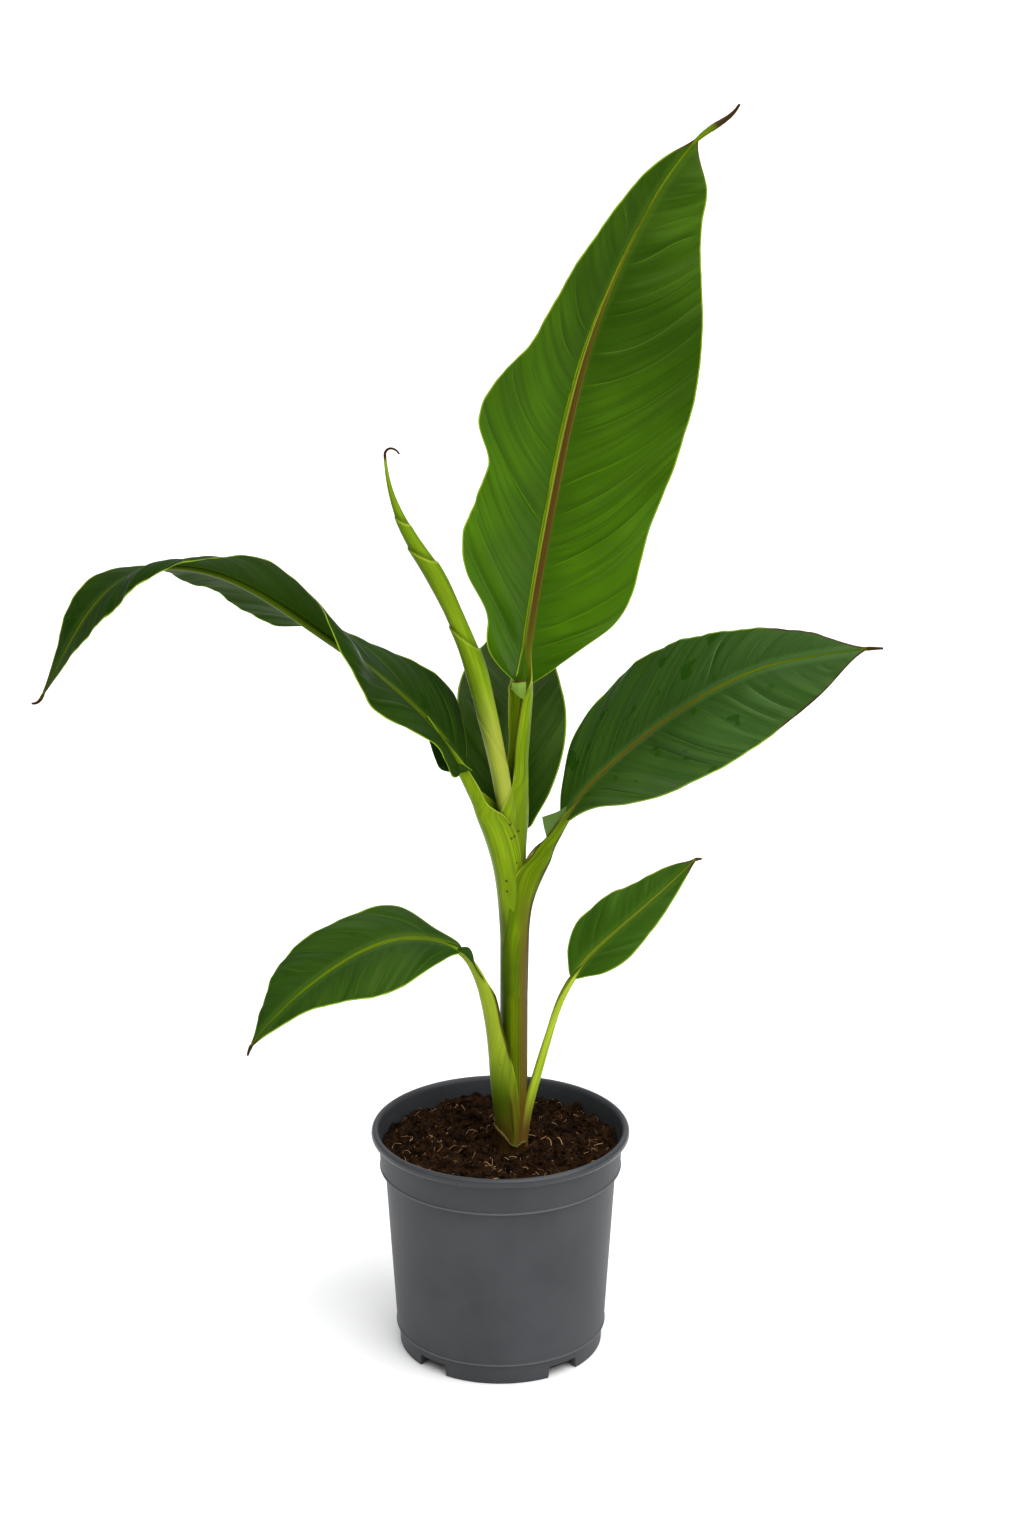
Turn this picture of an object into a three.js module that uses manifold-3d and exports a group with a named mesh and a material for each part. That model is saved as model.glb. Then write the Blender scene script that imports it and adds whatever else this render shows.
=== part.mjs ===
// A young banana plant in a round nursery pot, at life size.
// Millimetres, +Z up. The origin is the middle of the pot's underside, and the plant's
// front, as it is usually seen, faces -Y.
//
// Every leaf follows one rule. Its midrib is walked from a foot on the stem in short steps,
// with a rise above the horizon and a bearing (0 along +X, 90 along +Y) that are given at
// equal steps of its length. The blade is swept along it: each half has a half-width at equal
// steps, leaves the midrib at a fold angle, and droops by some degrees before it ends.
import * as THREE from 'three';
import Module from 'manifold-3d';

const wasm = await Module();
wasm.setup();

// Driving dimensions

const gap = 0.3; // clearance between neighbouring solids

const pot = {
  height: 135,
  rimRadius: 75,
  lipWidth: 4.4,
  lipHeight: 5.6,
  bandRadius: 71,
  bandBottom: 111,
  bodyTopRadius: 67.4,
  bodyFootRadius: 61.2,
  footHeight: 13,
  footRadius: 59.5,
  wall: 1.6,
  floor: 2,
  padRadius: 26,
  padLift: 3,
  sides: 48,
};

// Drainage notches in the foot: two near the front and two near the back, each pair spread
// evenly about a line that is turned a little from the Y axis.
const notch = { turnDeg: -92, spreadDeg: 39.5, wideDeg: 18, high: 7 };

// The soil is level with the stem's foot in the middle and banked up towards the wall.
const soil = { top: 119, mound: 4, bank: 5, bankFrom: 20, bankTo: 46, bump: 1.6, rings: 8, sides: 36 };

// The pseudostem, of wrapped leaf sheaths: height, middle and radius of its sections, from
// its foot, which stands in a shallow hollow of the soil.
const stem = [
  { z: 118, x: 7, y: 0, r: 9.9 },
  { z: 134, x: 7.4, y: 0, r: 9.0 },
  { z: 165, x: 8, y: 0, r: 8.5 },
  { z: 214, x: 8.5, y: 0, r: 8.3 },
  { z: 262, x: 8.5, y: 0, r: 8.5 },
  { z: 290, x: 7.5, y: 0.5, r: 8.2 },
  { z: 308, x: 6.8, y: 1, r: 7.6 },
  { z: 322, x: 7, y: 1.5, r: 6.4 },
];

// A dry old sheath scale at the foot of the stem: a thin shell over the front of it.
const husk = { thick: 1.3, bottom: 118, lowAt: 128, highAt: 138 };

// foot: where the midrib starts, inside the stem. blade: the share of the length that is bare
// stalk. stalk: radii of the stalk at equal steps up to the blade. rib: radius of the midrib
// at the blade's foot. half: half-widths of the blade's left and right halves, seen along the
// leaf with its upper face up. thick: the blade's thickness. tip: the thread at its end.
const leaves = {
  tall: {
    foot: [10, 2, 323.4],
    length: 394,
    rise: [93, 86, 78, 76, 76, 71, 63, 56, 45],
    bearing: [40, 52, 49, 42, 36, 35, 31, 32, 24],
    blade: 0.19,
    stalk: [6.2, 6.4, 6.6, 6.4, 5.2],
    rib: 4.4,
    roll: [62, 62, 60, 58, 56],
    half: [
      [7, 32, 38, 56, 60, 53, 48, 59, 53, 38, 31, 27, 23, 19, 15, 9, 1.2],
      [7, 24, 49, 56, 57, 58, 61, 64, 65, 65, 62, 57, 49, 39, 30, 22, 1.2],
    ],
    fold: [[34], [10]],
    droop: [[10], [14]],
    thick: 3.6,
    rows: 26,
    tip: { length: 31, rise: [40, 30, 34, 60], bearing: [20, 18, 12, 10] },
  },
  right: {
    foot: [11, -1, 256.4],
    length: 290,
    rise: [76, 70, 59, 47, 42, 37, 30, 15, 10],
    bearing: [-10, -22, -30, -32, -34, -34, -24, -14, -8],
    blade: 0.25,
    stalk: [7, 6.2, 5.2, 4.2, 3.4],
    rib: 3,
    roll: [50, 50, 50, 48, 45],
    half: [
      [8, 36, 46, 49, 44, 34, 24, 14, 1],
      [4, 15, 31, 42, 47, 46, 39, 24, 1],
    ],
    fold: [[14], [10]],
    droop: [[20], [30]],
    thick: 2.4,
    rows: 18,
    tip: { length: 9, rise: [5, 0], bearing: [-5, -5] },
  },
  left: {
    foot: [3, -4, 257.4],
    length: 420,
    rise: [90, 84, 73, 66, 61, 52, 46, 42, 37, 36, 28, 12, -7, -35, -54, -61, -60],
    bearing: [210, 215, 205, 198, 193, 173, 168, 178, 180],
    blade: 0.25,
    stalk: [7.6, 7.6, 7, 6, 4.8, 4],
    rib: 3.6,
    roll: [-43, -33, -29, -20, 10, 31, 44, 46, 18, -8, -35, -33, -33],
    half: [
      [9, 26, 32, 34, 34, 34, 33, 28, 26, 22, 16, 8, 1],
      [10, 30, 32, 34, 34, 34, 33, 31, 27, 22, 16, 8, 1],
    ],
    fold: [
      [12, 22, 18, 16, 46, 45, 16, 11, 26, 14, 14, 12, 10],
      [11, 22, 15, 4, 23, 12, 12, 19, 0, 13, 23, 19, 18],
    ],
    droop: [[20, 16, 24, 41, 114, 80, 23, 61, 92, 60, 8, 4, 0], [16]],
    thick: 3.2,
    rows: 32,
    split: 0.6,
    tip: { length: 8, rise: [-65, -40, 10], bearing: [180, 180, 180] },
  },
  back: {
    foot: [8, 5, 290],
    length: 158,
    rise: [86, 72, 52, 38, 30],
    bearing: [90, 92, 92, 87, 88],
    blade: 0.14,
    stalk: [5.5, 5, 3.8],
    rib: 2.4,
    roll: [0],
    half: [
      [6, 19, 27, 32, 30, 20, 2],
      [9, 21, 29, 31, 27, 19, 2],
    ],
    fold: [[18], [18]],
    droop: [[20], [20]],
    thick: 1.6,
    rows: 14,
    tip: { length: 4, rise: [30, 30], bearing: [88, 88] },
  },
  lower_left: {
    foot: [3, -4, 131],
    length: 266,
    rise: [80, 84, 86, 81, 74, 60, 27, 6, -15, -27, -33, -42, -48],
    bearing: [215, 205, 200, 203, 202, 200, 201, 203, 202],
    blade: 0.46,
    stalk: [7, 6.4, 5.4, 4.2, 3.6, 3.2, 2.8],
    rib: 2.4,
    roll: [-35, -32, -28, -25, -22],
    half: [
      [3, 16, 27, 33, 31, 22, 13, 7, 1],
      [5, 9, 24, 27, 28, 29, 23, 12, 1],
    ],
    fold: [[14], [14]],
    droop: [[30], [30]],
    thick: 1.7,
    rows: 18,
    tip: { length: 6, rise: [-60, -75], bearing: [202, 202] },
  },
  lower_right: {
    foot: [14, -1, 128.4],
    length: 201,
    rise: [80, 76, 72, 69, 50, 35, 32, 33, 40],
    bearing: [60, 27, 23, 25, 29, 27, 28, 30, 22],
    blade: 0.5,
    stalk: [3.4, 2.6, 2.3, 2.2],
    rib: 1.8,
    roll: [28],
    half: [
      [3, 14, 21, 22, 21, 17, 13, 9, 1],
      [3, 14, 19, 19, 16, 13, 9, 5, 1],
    ],
    fold: [[14], [14]],
    droop: [[20], [20]],
    thick: 1.3,
    rows: 16,
    tip: { length: 4, rise: [10, 0], bearing: [10, 5] },
  },
};

// The newest leaf, still rolled up: a tapering tube that ends in a hooked thread.
const rolled = {
  foot: [5, -3, 320.4],
  length: 223,
  rise: [78, 79, 77, 76, 69, 65, 58, 70, 85],
  bearing: [220, 210, 204, 194, 193, 190, 189, 189, 200],
  radius: [4.8, 4.9, 5.0, 5.3, 5.6, 5.8, 5.0, 4.7, 4.9, 4.0, 2.9, 1.5, 0.8],
  tip: { length: 13, rise: [90, 50, -20, -60], bearing: [180, 0, 0, 0] },
  threadRadius: 0.7,
};

const threadHalf = 0.9; // half-width and half-thickness of a blade's tip thread
const columns = 4; // strips across each half of a blade
const tubeSides = 10;

// Curves

const rad = THREE.MathUtils.degToRad;

// A smooth value at s (0 to 1) from values given at equal steps.
function keyed(values, s) {
  const last = values.length - 1;
  if (last === 0) return values[0];
  const x = Math.min(Math.max(s, 0), 1) * last;
  const i = Math.min(Math.floor(x), last - 1);
  const u = x - i;
  const a = values[Math.max(i - 1, 0)];
  const b = values[i];
  const c = values[i + 1];
  const d = values[Math.min(i + 2, last)];
  const bend = (3 * b - a - 3 * c + d) * u * u * u;
  return 0.5 * (2 * b + (c - a) * u + (2 * a - 5 * b + 4 * c - d) * u * u + bend);
}

function heading(rise, bearing) {
  const r = rad(rise);
  const b = rad(bearing);
  return new THREE.Vector3(Math.cos(r) * Math.cos(b), Math.cos(r) * Math.sin(b), Math.sin(r));
}

// Walks a midrib, then its tip thread. at(q) gives the point, the way ahead, the level way to
// the left and the way up off the upper face, where q runs 0 to 1 on the leaf and on into
// the thread, up to reach.
function midline(leaf) {
  const walk = [];
  const place = new THREE.Vector3(...leaf.foot);
  const lay = (rises, bearings, length, steps) => {
    let before = null;
    for (let k = 0; k <= steps; k += 1) {
      const bearing = keyed(bearings, k / steps);
      const ahead = heading(keyed(rises, k / steps), bearing);
      if (before) {
        place.addScaledVector(before.clone().add(ahead), (0.5 * length) / steps);
      }
      if (k > 0 || walk.length === 0) {
        const left = new THREE.Vector3(-Math.sin(rad(bearing)), Math.cos(rad(bearing)), 0);
        const up = new THREE.Vector3().crossVectors(ahead, left);
        walk.push({ point: place.clone(), ahead, left, up });
      }
      before = ahead;
    }
  };
  const steps = 200;
  lay(leaf.rise, leaf.bearing, leaf.length, steps);
  const tipSteps = Math.max(4, Math.round((steps * leaf.tip.length) / leaf.length));
  const tipShare = leaf.tip.length / leaf.length;
  lay(leaf.tip.rise, leaf.tip.bearing, leaf.tip.length, tipSteps);
  const reach = 1 + tipShare;
  const at = (q) => {
    const x = q <= 1 ? q * steps : steps + ((q - 1) / tipShare) * tipSteps;
    const clamped = Math.min(Math.max(x, 0), walk.length - 1.0001);
    const i = Math.floor(clamped);
    const mix = (name) => walk[i][name].clone().lerp(walk[i + 1][name], clamped - i);
    return { point: mix('point'), ahead: mix('ahead'), left: mix('left'), up: mix('up') };
  };
  return { at, reach };
}

// Solids

// A closed skin over rings of points, each ring with the same count, with flat-fanned ends.
function skin(rings) {
  const count = rings[0].length;
  const points = rings.flat();
  const faces = [];
  for (let i = 0; i < rings.length - 1; i += 1) {
    for (let j = 0; j < count; j += 1) {
      const a = i * count + j;
      const b = i * count + ((j + 1) % count);
      faces.push([a, b, b + count], [a, b + count, a + count]);
    }
  }
  const end = (ring, turn) => {
    const middle = new THREE.Vector3();
    rings[ring].forEach((p) => middle.addScaledVector(p, 1 / count));
    points.push(middle);
    const m = points.length - 1;
    for (let j = 0; j < count; j += 1) {
      const a = ring * count + j;
      const b = ring * count + ((j + 1) % count);
      faces.push(turn ? [m, a, b] : [m, b, a]);
    }
  };
  end(0, false);
  end(rings.length - 1, true);
  return { points, faces };
}

// A closed skin as a solid, its faces turned outward whichever way its rings run.
function solidOf({ points, faces }) {
  const swept = faces.reduce((sum, [a, b, c]) => {
    const facing = new THREE.Vector3().crossVectors(points[b], points[c]);
    return sum + points[a].dot(facing);
  }, 0);
  const outward = swept > 0 ? faces : faces.map(([a, b, c]) => [a, c, b]);
  const vertProperties = new Float32Array(points.flatMap((p) => [p.x, p.y, p.z]));
  const triVerts = new Uint32Array(outward.flat());
  const solid = new wasm.Manifold(new wasm.Mesh({ numProp: 3, vertProperties, triVerts }));
  return solid;
}

// A closed three.js geometry as a solid, its shared vertices merged.
function solidOfGeometry(geometry) {
  const position = geometry.getAttribute('position');
  const seen = new Map();
  const points = [];
  const to = [];
  for (let i = 0; i < position.count; i += 1) {
    const p = new THREE.Vector3().fromBufferAttribute(position, i);
    const key = [p.x, p.y, p.z].map((v) => Math.round(v * 1e4)).join();
    if (!seen.has(key)) {
      seen.set(key, points.length);
      points.push(p);
    }
    to.push(seen.get(key));
  }
  const faces = [];
  for (let i = 0; i < geometry.index.count; i += 3) {
    const face = [0, 1, 2].map((k) => to[geometry.index.getX(i + k)]);
    if (new Set(face).size === 3) faces.push(face);
  }
  return solidOf({ points, faces });
}

// The largest body of a solid, as a geometry.
function geometryOf(solid) {
  const bodies = solid.decompose().sort((a, b) => b.volume() - a.volume());
  const mesh = bodies[0].getMesh();
  const geometry = new THREE.BufferGeometry();
  const places = new Float32Array(mesh.numVert * 3);
  for (let i = 0; i < mesh.numVert; i += 1) {
    for (let k = 0; k < 3; k += 1) {
      places[3 * i + k] = mesh.vertProperties[mesh.numProp * i + k];
    }
  }
  geometry.setAttribute('position', new THREE.BufferAttribute(places, 3));
  geometry.setIndex(new THREE.BufferAttribute(new Uint32Array(mesh.triVerts), 1));
  geometry.computeVertexNormals();
  return geometry;
}

// A round limb over stations { point, ahead, side, up, r }, grown by extra all over.
function limb(stations, extra = 0, sides = tubeSides) {
  const rings = stations.map((s, i) => {
    const first = i === 0 ? -extra : 0;
    const last = i === stations.length - 1 ? extra : 0;
    const middle = s.point.clone().addScaledVector(s.ahead, first + last);
    return Array.from({ length: sides }, (_, j) => {
      const turn = (2 * Math.PI * j) / sides;
      const r = s.r + extra;
      return middle
        .clone()
        .addScaledVector(s.side, r * Math.cos(turn))
        .addScaledVector(s.up, r * Math.sin(turn));
    });
  });
  return solidOf(skin(rings));
}

function stemStations() {
  const ahead = new THREE.Vector3(0, 0, 1);
  const side = new THREE.Vector3(1, 0, 0);
  const up = new THREE.Vector3(0, 1, 0);
  const rows = stem.map(({ x, y, z, r }) => ({
    point: new THREE.Vector3(x, y, z),
    ahead,
    side,
    up,
    r,
  }));
  const top = stem[stem.length - 1];
  const cap = new THREE.Vector3(top.x, top.y, top.z + 2);
  rows.push({ point: cap, ahead, side, up, r: top.r * 0.6 });
  return rows;
}

function limbStations(line, radii, from, to, count) {
  const rows = [];
  for (let k = 0; k <= count; k += 1) {
    const q = from + ((to - from) * k) / count;
    const { point, ahead, left, up } = line.at(q);
    rows.push({ point, ahead, side: up, up: left, r: keyed(radii, k / count) });
  }
  return rows;
}

// The middle surface of a blade at share u of its length and share t of its half-width.
function bladePoint(leaf, section, u, hand, t) {
  const roll = rad(keyed(leaf.roll, u));
  const out = section.left
    .clone()
    .multiplyScalar(Math.cos(roll))
    .addScaledVector(section.up, Math.sin(roll))
    .multiplyScalar(hand);
  const off = section.up
    .clone()
    .multiplyScalar(Math.cos(roll))
    .addScaledVector(section.left, -Math.sin(roll));
  const half = hand > 0 ? 0 : 1;
  const wide = u > 1 ? threadHalf : Math.max(keyed(leaf.half[half], u), threadHalf);
  const fold = rad(keyed(leaf.fold[half], u));
  const droop = rad(keyed(leaf.droop[half], u));
  const steps = 12;
  const place = section.point.clone();
  for (let k = 0; k < steps; k += 1) {
    const slope = fold - (droop * t * (k + 0.5)) / steps;
    const stride = (wide * t) / steps;
    place.addScaledVector(out, stride * Math.cos(slope));
    place.addScaledVector(off, stride * Math.sin(slope));
  }
  return { place, off };
}

// A blade with its midrib's keel, from share u0 to u1 of the blade, then its thread if it
// has one: a top sheet and a bottom sheet half a thickness off the middle surface.
function blade(leaf, line, u0, u1, rows, thread) {
  const shares = Array.from({ length: rows + 1 }, (_, i) => u0 + ((u1 - u0) * i) / rows);
  if (thread) {
    const more = 5;
    const far = (line.reach - leaf.blade) / (1 - leaf.blade);
    for (let k = 1; k <= more; k += 1) shares.push(1 + ((far - 1) * k) / more);
  }
  const cutAt = (i) => i === 0 || (i === shares.length - 1 && !thread);
  const sections = shares.map((u, i) => {
    const section = line.at(leaf.blade + (1 - leaf.blade) * u);
    const back = i > 0 ? -1 : 1;
    const split = cutAt(i) && u > 0;
    if (split) section.point.addScaledVector(section.ahead, (back * gap) / 2);
    return section;
  });
  const grid = shares.map((u, i) => {
    const section = sections[i];
    const row = [];
    for (let j = -columns; j <= columns; j += 1) {
      const hand = j < 0 ? -1 : 1;
      row.push(bladePoint(leaf, section, u, hand, Math.abs(j) / columns));
    }
    return row;
  });
  const thick = (u, j) => {
    const full = Math.min(leaf.thick, 2 * threadHalf + (1 - u) * 5 * leaf.thick);
    return u > 1 ? 2 * threadHalf : full * (1 - 0.3 * Math.abs(j / columns) ** 3);
  };
  const normalAt = (i, j) => {
    const span = (a, b) => b.place.clone().sub(a.place);
    const along = span(grid[Math.max(i - 1, 0)][j], grid[Math.min(i + 1, grid.length - 1)][j]);
    const across = span(grid[i][Math.max(j - 1, 0)], grid[i][Math.min(j + 1, 2 * columns)]);
    const normal = along.cross(across).normalize();
    if (!cutAt(i)) return normal;
    const { ahead } = sections[i];
    return normal.addScaledVector(ahead, -normal.dot(ahead)).normalize();
  };
  const rings = shares.map((u, i) => {
    const top = [];
    const bottom = [];
    for (let c = 0; c <= 2 * columns; c += 1) {
      const j = c - columns;
      const normal = normalAt(i, c);
      const h = 0.5 * thick(u, j);
      const keel = j === 0 ? Math.max(0, keyed([leaf.rib, 0.1], Math.min(u, 1))) : 0;
      top.push(grid[i][c].place.clone().addScaledVector(normal, h));
      bottom.push(grid[i][c].place.clone().addScaledVector(normal, -h - keel));
    }
    return top.concat(bottom.reverse());
  });
  return solidOf(skin(rings));
}

// Pot and soil

const wallRun = pot.bandBottom - pot.footHeight;
const taper = (pot.bodyTopRadius - pot.bodyFootRadius) / wallRun;
const bodyRadius = (z) => pot.bodyFootRadius + taper * (z - pot.footHeight);

const lipBottom = pot.height - pot.lipHeight;
const lipInner = pot.rimRadius - pot.lipWidth;
const footTop = pot.footHeight - 1.6;
const floorTop = pot.padLift + pot.floor;

const outsideProfile = [
  [0, 0],
  [pot.padRadius, 0],
  [pot.padRadius + 2, pot.padLift],
  [pot.footRadius - 5.5, pot.padLift],
  [pot.footRadius - 4, 0],
  [pot.footRadius, 0],
  [pot.footRadius + 0.5, footTop],
  [pot.bodyFootRadius, pot.footHeight],
  [pot.bodyTopRadius, pot.bandBottom],
  [pot.bandRadius - 1.2, pot.bandBottom + 1.6],
  [pot.bandRadius, lipBottom],
  [pot.rimRadius - 1.6, lipBottom + 0.2],
  [pot.rimRadius - 0.3, lipBottom + 1.4],
  [pot.rimRadius, pot.height - 2.4],
  [pot.rimRadius - 0.7, pot.height - 0.7],
  [pot.rimRadius - 2, pot.height],
];

const insideProfile = [
  [lipInner + 1.4, pot.height],
  [lipInner + 0.3, pot.height - 0.8],
  [lipInner - 0.4, pot.height - 2.6],
  [pot.bandRadius - pot.wall, lipBottom - 1],
  [pot.bandRadius - 1.2 - pot.wall, pot.bandBottom + 2.4],
  [pot.bodyTopRadius - pot.wall, pot.bandBottom - 0.6],
  [pot.bodyFootRadius - pot.wall, pot.footHeight + 1],
  [pot.footRadius - pot.wall, footTop],
  [pot.footRadius - pot.wall - 0.4, floorTop],
  [pot.padRadius + 1, floorTop],
  [pot.padRadius - 1, pot.floor],
  [0, pot.floor],
];

const asPoints = (rows) => rows.map(([r, z]) => new THREE.Vector2(Math.max(r, 0), z));

// LatheGeometry turns about +Y; the part stands along +Z.
function lathe(rows, sides) {
  const geometry = new THREE.LatheGeometry(asPoints(rows), sides);
  geometry.rotateX(Math.PI / 2);
  return solidOfGeometry(geometry);
}

let potSolid = lathe(outsideProfile.concat(insideProfile), pot.sides);
for (const [back, hand] of [[0, -1], [0, 1], [180, -1], [180, 1]]) {
  const middle = rad(notch.turnDeg + back + hand * notch.spreadDeg);
  const halfTurn = rad(notch.wideDeg / 2);
  const ends = [pot.footRadius - 7, pot.footRadius + 4];
  const corner = (r, a, z) => new THREE.Vector3(r * Math.cos(a), r * Math.sin(a), z);
  const ring = (r) => [
    corner(r, middle - halfTurn, -1),
    corner(r, middle - halfTurn, notch.high),
    corner(r, middle + halfTurn, notch.high),
    corner(r, middle + halfTurn, -1),
  ];
  potSolid = potSolid.subtract(solidOf(skin([ring(ends[0]), ring(ends[1])])));
}

const soilEdge = [
  [0, pot.floor + gap],
  [pot.padRadius - 1.2, pot.floor + gap],
  [pot.padRadius + 0.9, floorTop + gap],
  [pot.footRadius - pot.wall - 0.8, floorTop + gap],
  [pot.footRadius - pot.wall - gap - 0.1, footTop],
  [pot.bodyFootRadius - pot.wall - gap - 0.1, pot.footHeight + 1],
  [pot.bodyTopRadius - pot.wall - gap - 0.1, pot.bandBottom - 0.5],
  [pot.bandRadius - 1.3 - pot.wall - gap, pot.bandBottom + 2.6],
];

// The soil's top: a low mound about the stem, a bank round it, and clods as small waves.
function soilTop(r, a) {
  const swell = soil.mound * Math.exp(-((r / 26) ** 2));
  const waves = Math.sin(3 * a + r / 7) + Math.sin(5 * a - r / 5) + Math.sin(r / 4 + a);
  const bank = soil.bank * THREE.MathUtils.smoothstep(r, soil.bankFrom, soil.bankTo);
  return soil.top + swell + bank + (soil.bump * waves) / 3;
}

const soilWide = pot.bandRadius - 1.2 - pot.wall - gap;
const soilRings = soilEdge
  .slice(1)
  .map(([r, z]) =>
    Array.from({ length: soil.sides }, (_, j) => {
      const a = (2 * Math.PI * j) / soil.sides;
      return new THREE.Vector3(r * Math.cos(a), r * Math.sin(a), z);
    }),
  );
for (let k = soil.rings; k >= 1; k -= 1) {
  const r = (soilWide * k) / soil.rings;
  soilRings.push(
    Array.from({ length: soil.sides }, (_, j) => {
      const a = (2 * Math.PI * j) / soil.sides;
      return new THREE.Vector3(r * Math.cos(a), r * Math.sin(a), soilTop(r, a));
    }),
  );
}
let soilSolid = solidOf(skin(soilRings));

// Plant

const stations = stemStations();
const stemSolid = limb(stations, 0, 16);
const stemGrown = limb(stations, gap, 16);

const rolledLine = midline(rolled);
const rolledStations = limbStations(rolledLine, rolled.radius, 0, 1, 24);
for (let k = 1; k <= 5; k += 1) {
  const q = 1 + ((rolledLine.reach - 1) * k) / 5;
  const { point, ahead, left, up } = rolledLine.at(q);
  rolledStations.push({ point, ahead, side: up, up: left, r: rolled.threadRadius });
}
const rolledGrown = limb(rolledStations, gap);
const solids = {};
solids.rolled_leaf = limb(rolledStations).subtract(stemGrown);

const grown = [stemGrown, rolledGrown];
const lines = {};
const order = ['tall', 'left', 'right', 'back', 'lower_left', 'lower_right'];
for (const name of order) {
  const leaf = leaves[name];
  lines[name] = midline(leaf);
  const rows = limbStations(lines[name], leaf.stalk, 0, leaf.blade, 9);
  let stalk = limb(rows);
  for (const other of grown) stalk = stalk.subtract(other);
  solids[`stalk_${name}`] = stalk;
  grown.push(limb(rows, gap));
}

for (const name of order) {
  const leaf = leaves[name];
  const parts = leaf.split
    ? [
        [`blade_${name}_inner`, 0, leaf.split, false],
        [`blade_${name}_outer`, leaf.split, 1, true],
      ]
    : [[`blade_${name}`, 0, 1, true]];
  for (const [label, from, to, thread] of parts) {
    const rows = Math.round(leaf.rows * (to - from));
    let solid = blade(leaf, lines[name], from, to, rows, thread);
    for (const other of grown) solid = solid.subtract(other);
    solids[label] = solid;
  }
}

// The husk is what lies between two grown copies of the stem and the lower left stalk.
const huskRows = limbStations(
  lines.lower_left,
  leaves.lower_left.stalk,
  0,
  leaves.lower_left.blade,
  9,
);
const huskOver = (extra) => limb(stations, extra, 16).add(limb(huskRows, extra));
const huskBody = huskOver(gap + husk.thick).subtract(huskOver(gap));
const huskSpan = 40;
const huskRing = (y, low, high) => [
  new THREE.Vector3(stem[0].x - huskSpan, y, husk.bottom),
  new THREE.Vector3(stem[0].x - huskSpan, y, high),
  new THREE.Vector3(stem[0].x + huskSpan, y, low),
  new THREE.Vector3(stem[0].x + huskSpan, y, husk.bottom),
];
const huskTilt = (husk.highAt - husk.lowAt) * (huskSpan / 10);
const huskMid = (husk.highAt + husk.lowAt) / 2;
const huskTrim = solidOf(
  skin([
    huskRing(-huskSpan, huskMid - huskTilt / 2, huskMid + huskTilt / 2),
    huskRing(2, huskMid - huskTilt / 2, huskMid + huskTilt / 2),
  ]),
);
solids.husk = huskBody.intersect(huskTrim).subtract(grown[grown.length - 1]);

soilSolid = soilSolid.subtract(huskOver(gap + husk.thick + gap));
soilSolid = soilSolid.subtract(grown[grown.length - 1]);
solids.soil = soilSolid;
solids.pot = potSolid;
solids.pseudostem = stemSolid;

// Scene graph

const matte = (color, roughness) =>
  new THREE.MeshStandardMaterial({ color, roughness, metalness: 0 });
const looks = {
  pot: matte(0x4c4f54, 0.55),
  soil: matte(0x2c1d14, 0.95),
  pseudostem: matte(0x8a9a3a, 0.5),
  husk: matte(0x6e5a2c, 0.8),
  rolled_leaf: matte(0xa9c356, 0.45),
  stalk: matte(0x97b03f, 0.45),
  blade: matte(0x2f5a1f, 0.35),
  blade_tall: matte(0x47781c, 0.35),
};

const plant = new THREE.Group();
for (const [name, solid] of Object.entries(solids)) {
  const look = looks[name] || looks[name.split('_')[0]];
  const mesh = new THREE.Mesh(geometryOf(solid), look.clone());
  mesh.name = name;
  plant.add(mesh);
}

export default plant;
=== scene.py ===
import math

import bmesh
import bpy
import numpy as np
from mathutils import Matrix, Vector, noise


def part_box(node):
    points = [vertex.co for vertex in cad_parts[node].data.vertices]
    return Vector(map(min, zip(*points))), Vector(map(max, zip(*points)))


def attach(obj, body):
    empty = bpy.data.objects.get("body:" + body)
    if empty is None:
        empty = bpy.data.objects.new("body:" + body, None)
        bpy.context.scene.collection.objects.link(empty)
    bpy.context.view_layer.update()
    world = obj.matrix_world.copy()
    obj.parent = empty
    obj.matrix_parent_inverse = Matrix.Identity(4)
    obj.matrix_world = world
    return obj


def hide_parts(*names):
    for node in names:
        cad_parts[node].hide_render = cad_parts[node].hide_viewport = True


# A young banana plant in a round nursery pot, at life size. Lengths below are millimetres
# unless a name says otherwise, and meshes are made in metres through MM.
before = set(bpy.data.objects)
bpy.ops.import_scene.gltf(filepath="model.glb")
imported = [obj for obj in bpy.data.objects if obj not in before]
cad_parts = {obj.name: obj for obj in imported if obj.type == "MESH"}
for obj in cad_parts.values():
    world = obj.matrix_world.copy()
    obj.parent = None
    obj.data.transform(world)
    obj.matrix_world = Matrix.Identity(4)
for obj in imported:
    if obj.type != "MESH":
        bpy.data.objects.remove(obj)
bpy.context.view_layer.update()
MM = 0.001
BODY = "root"


# Pot
# A moulded polypropylene nursery pot: one thin shell with a rolled lip, a wider band under
# it, a stepped foot and drainage notches cut in the foot. Satin blue-grey, with the faint
# cloudiness and fine grain of moulded plastic.
pot_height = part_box("pot")[1].z / MM
rim_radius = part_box("pot")[1].x / MM
lip_width = 4.4
lip_height = 5.6
band_radius = rim_radius - 4
band_bottom = pot_height - 24
body_top = rim_radius - 7.6
body_foot = rim_radius - 13.8
foot_height = 13.0
foot_radius = rim_radius - 15.5
pot_wall = 1.4
pad_radius = 26.0
pad_lift = 3.0
pot_sides = 192


def feed(tree, socket, value):
    """Sets a socket, or links it where the value is a socket too. Colours are given as RGB."""
    if isinstance(value, bpy.types.NodeSocket):
        tree.links.new(value, socket)
    elif socket.type == "RGBA":
        socket.default_value = (*value, 1.0)
    else:
        socket.default_value = value


def add(tree, kind, inputs=None, **settings):
    """A node with its settings and sockets set."""
    made = tree.nodes.new(kind)
    for key, value in settings.items():
        setattr(made, key, value)
    for key, value in (inputs or {}).items():
        feed(tree, made.inputs[key], value)
    return made


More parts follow.
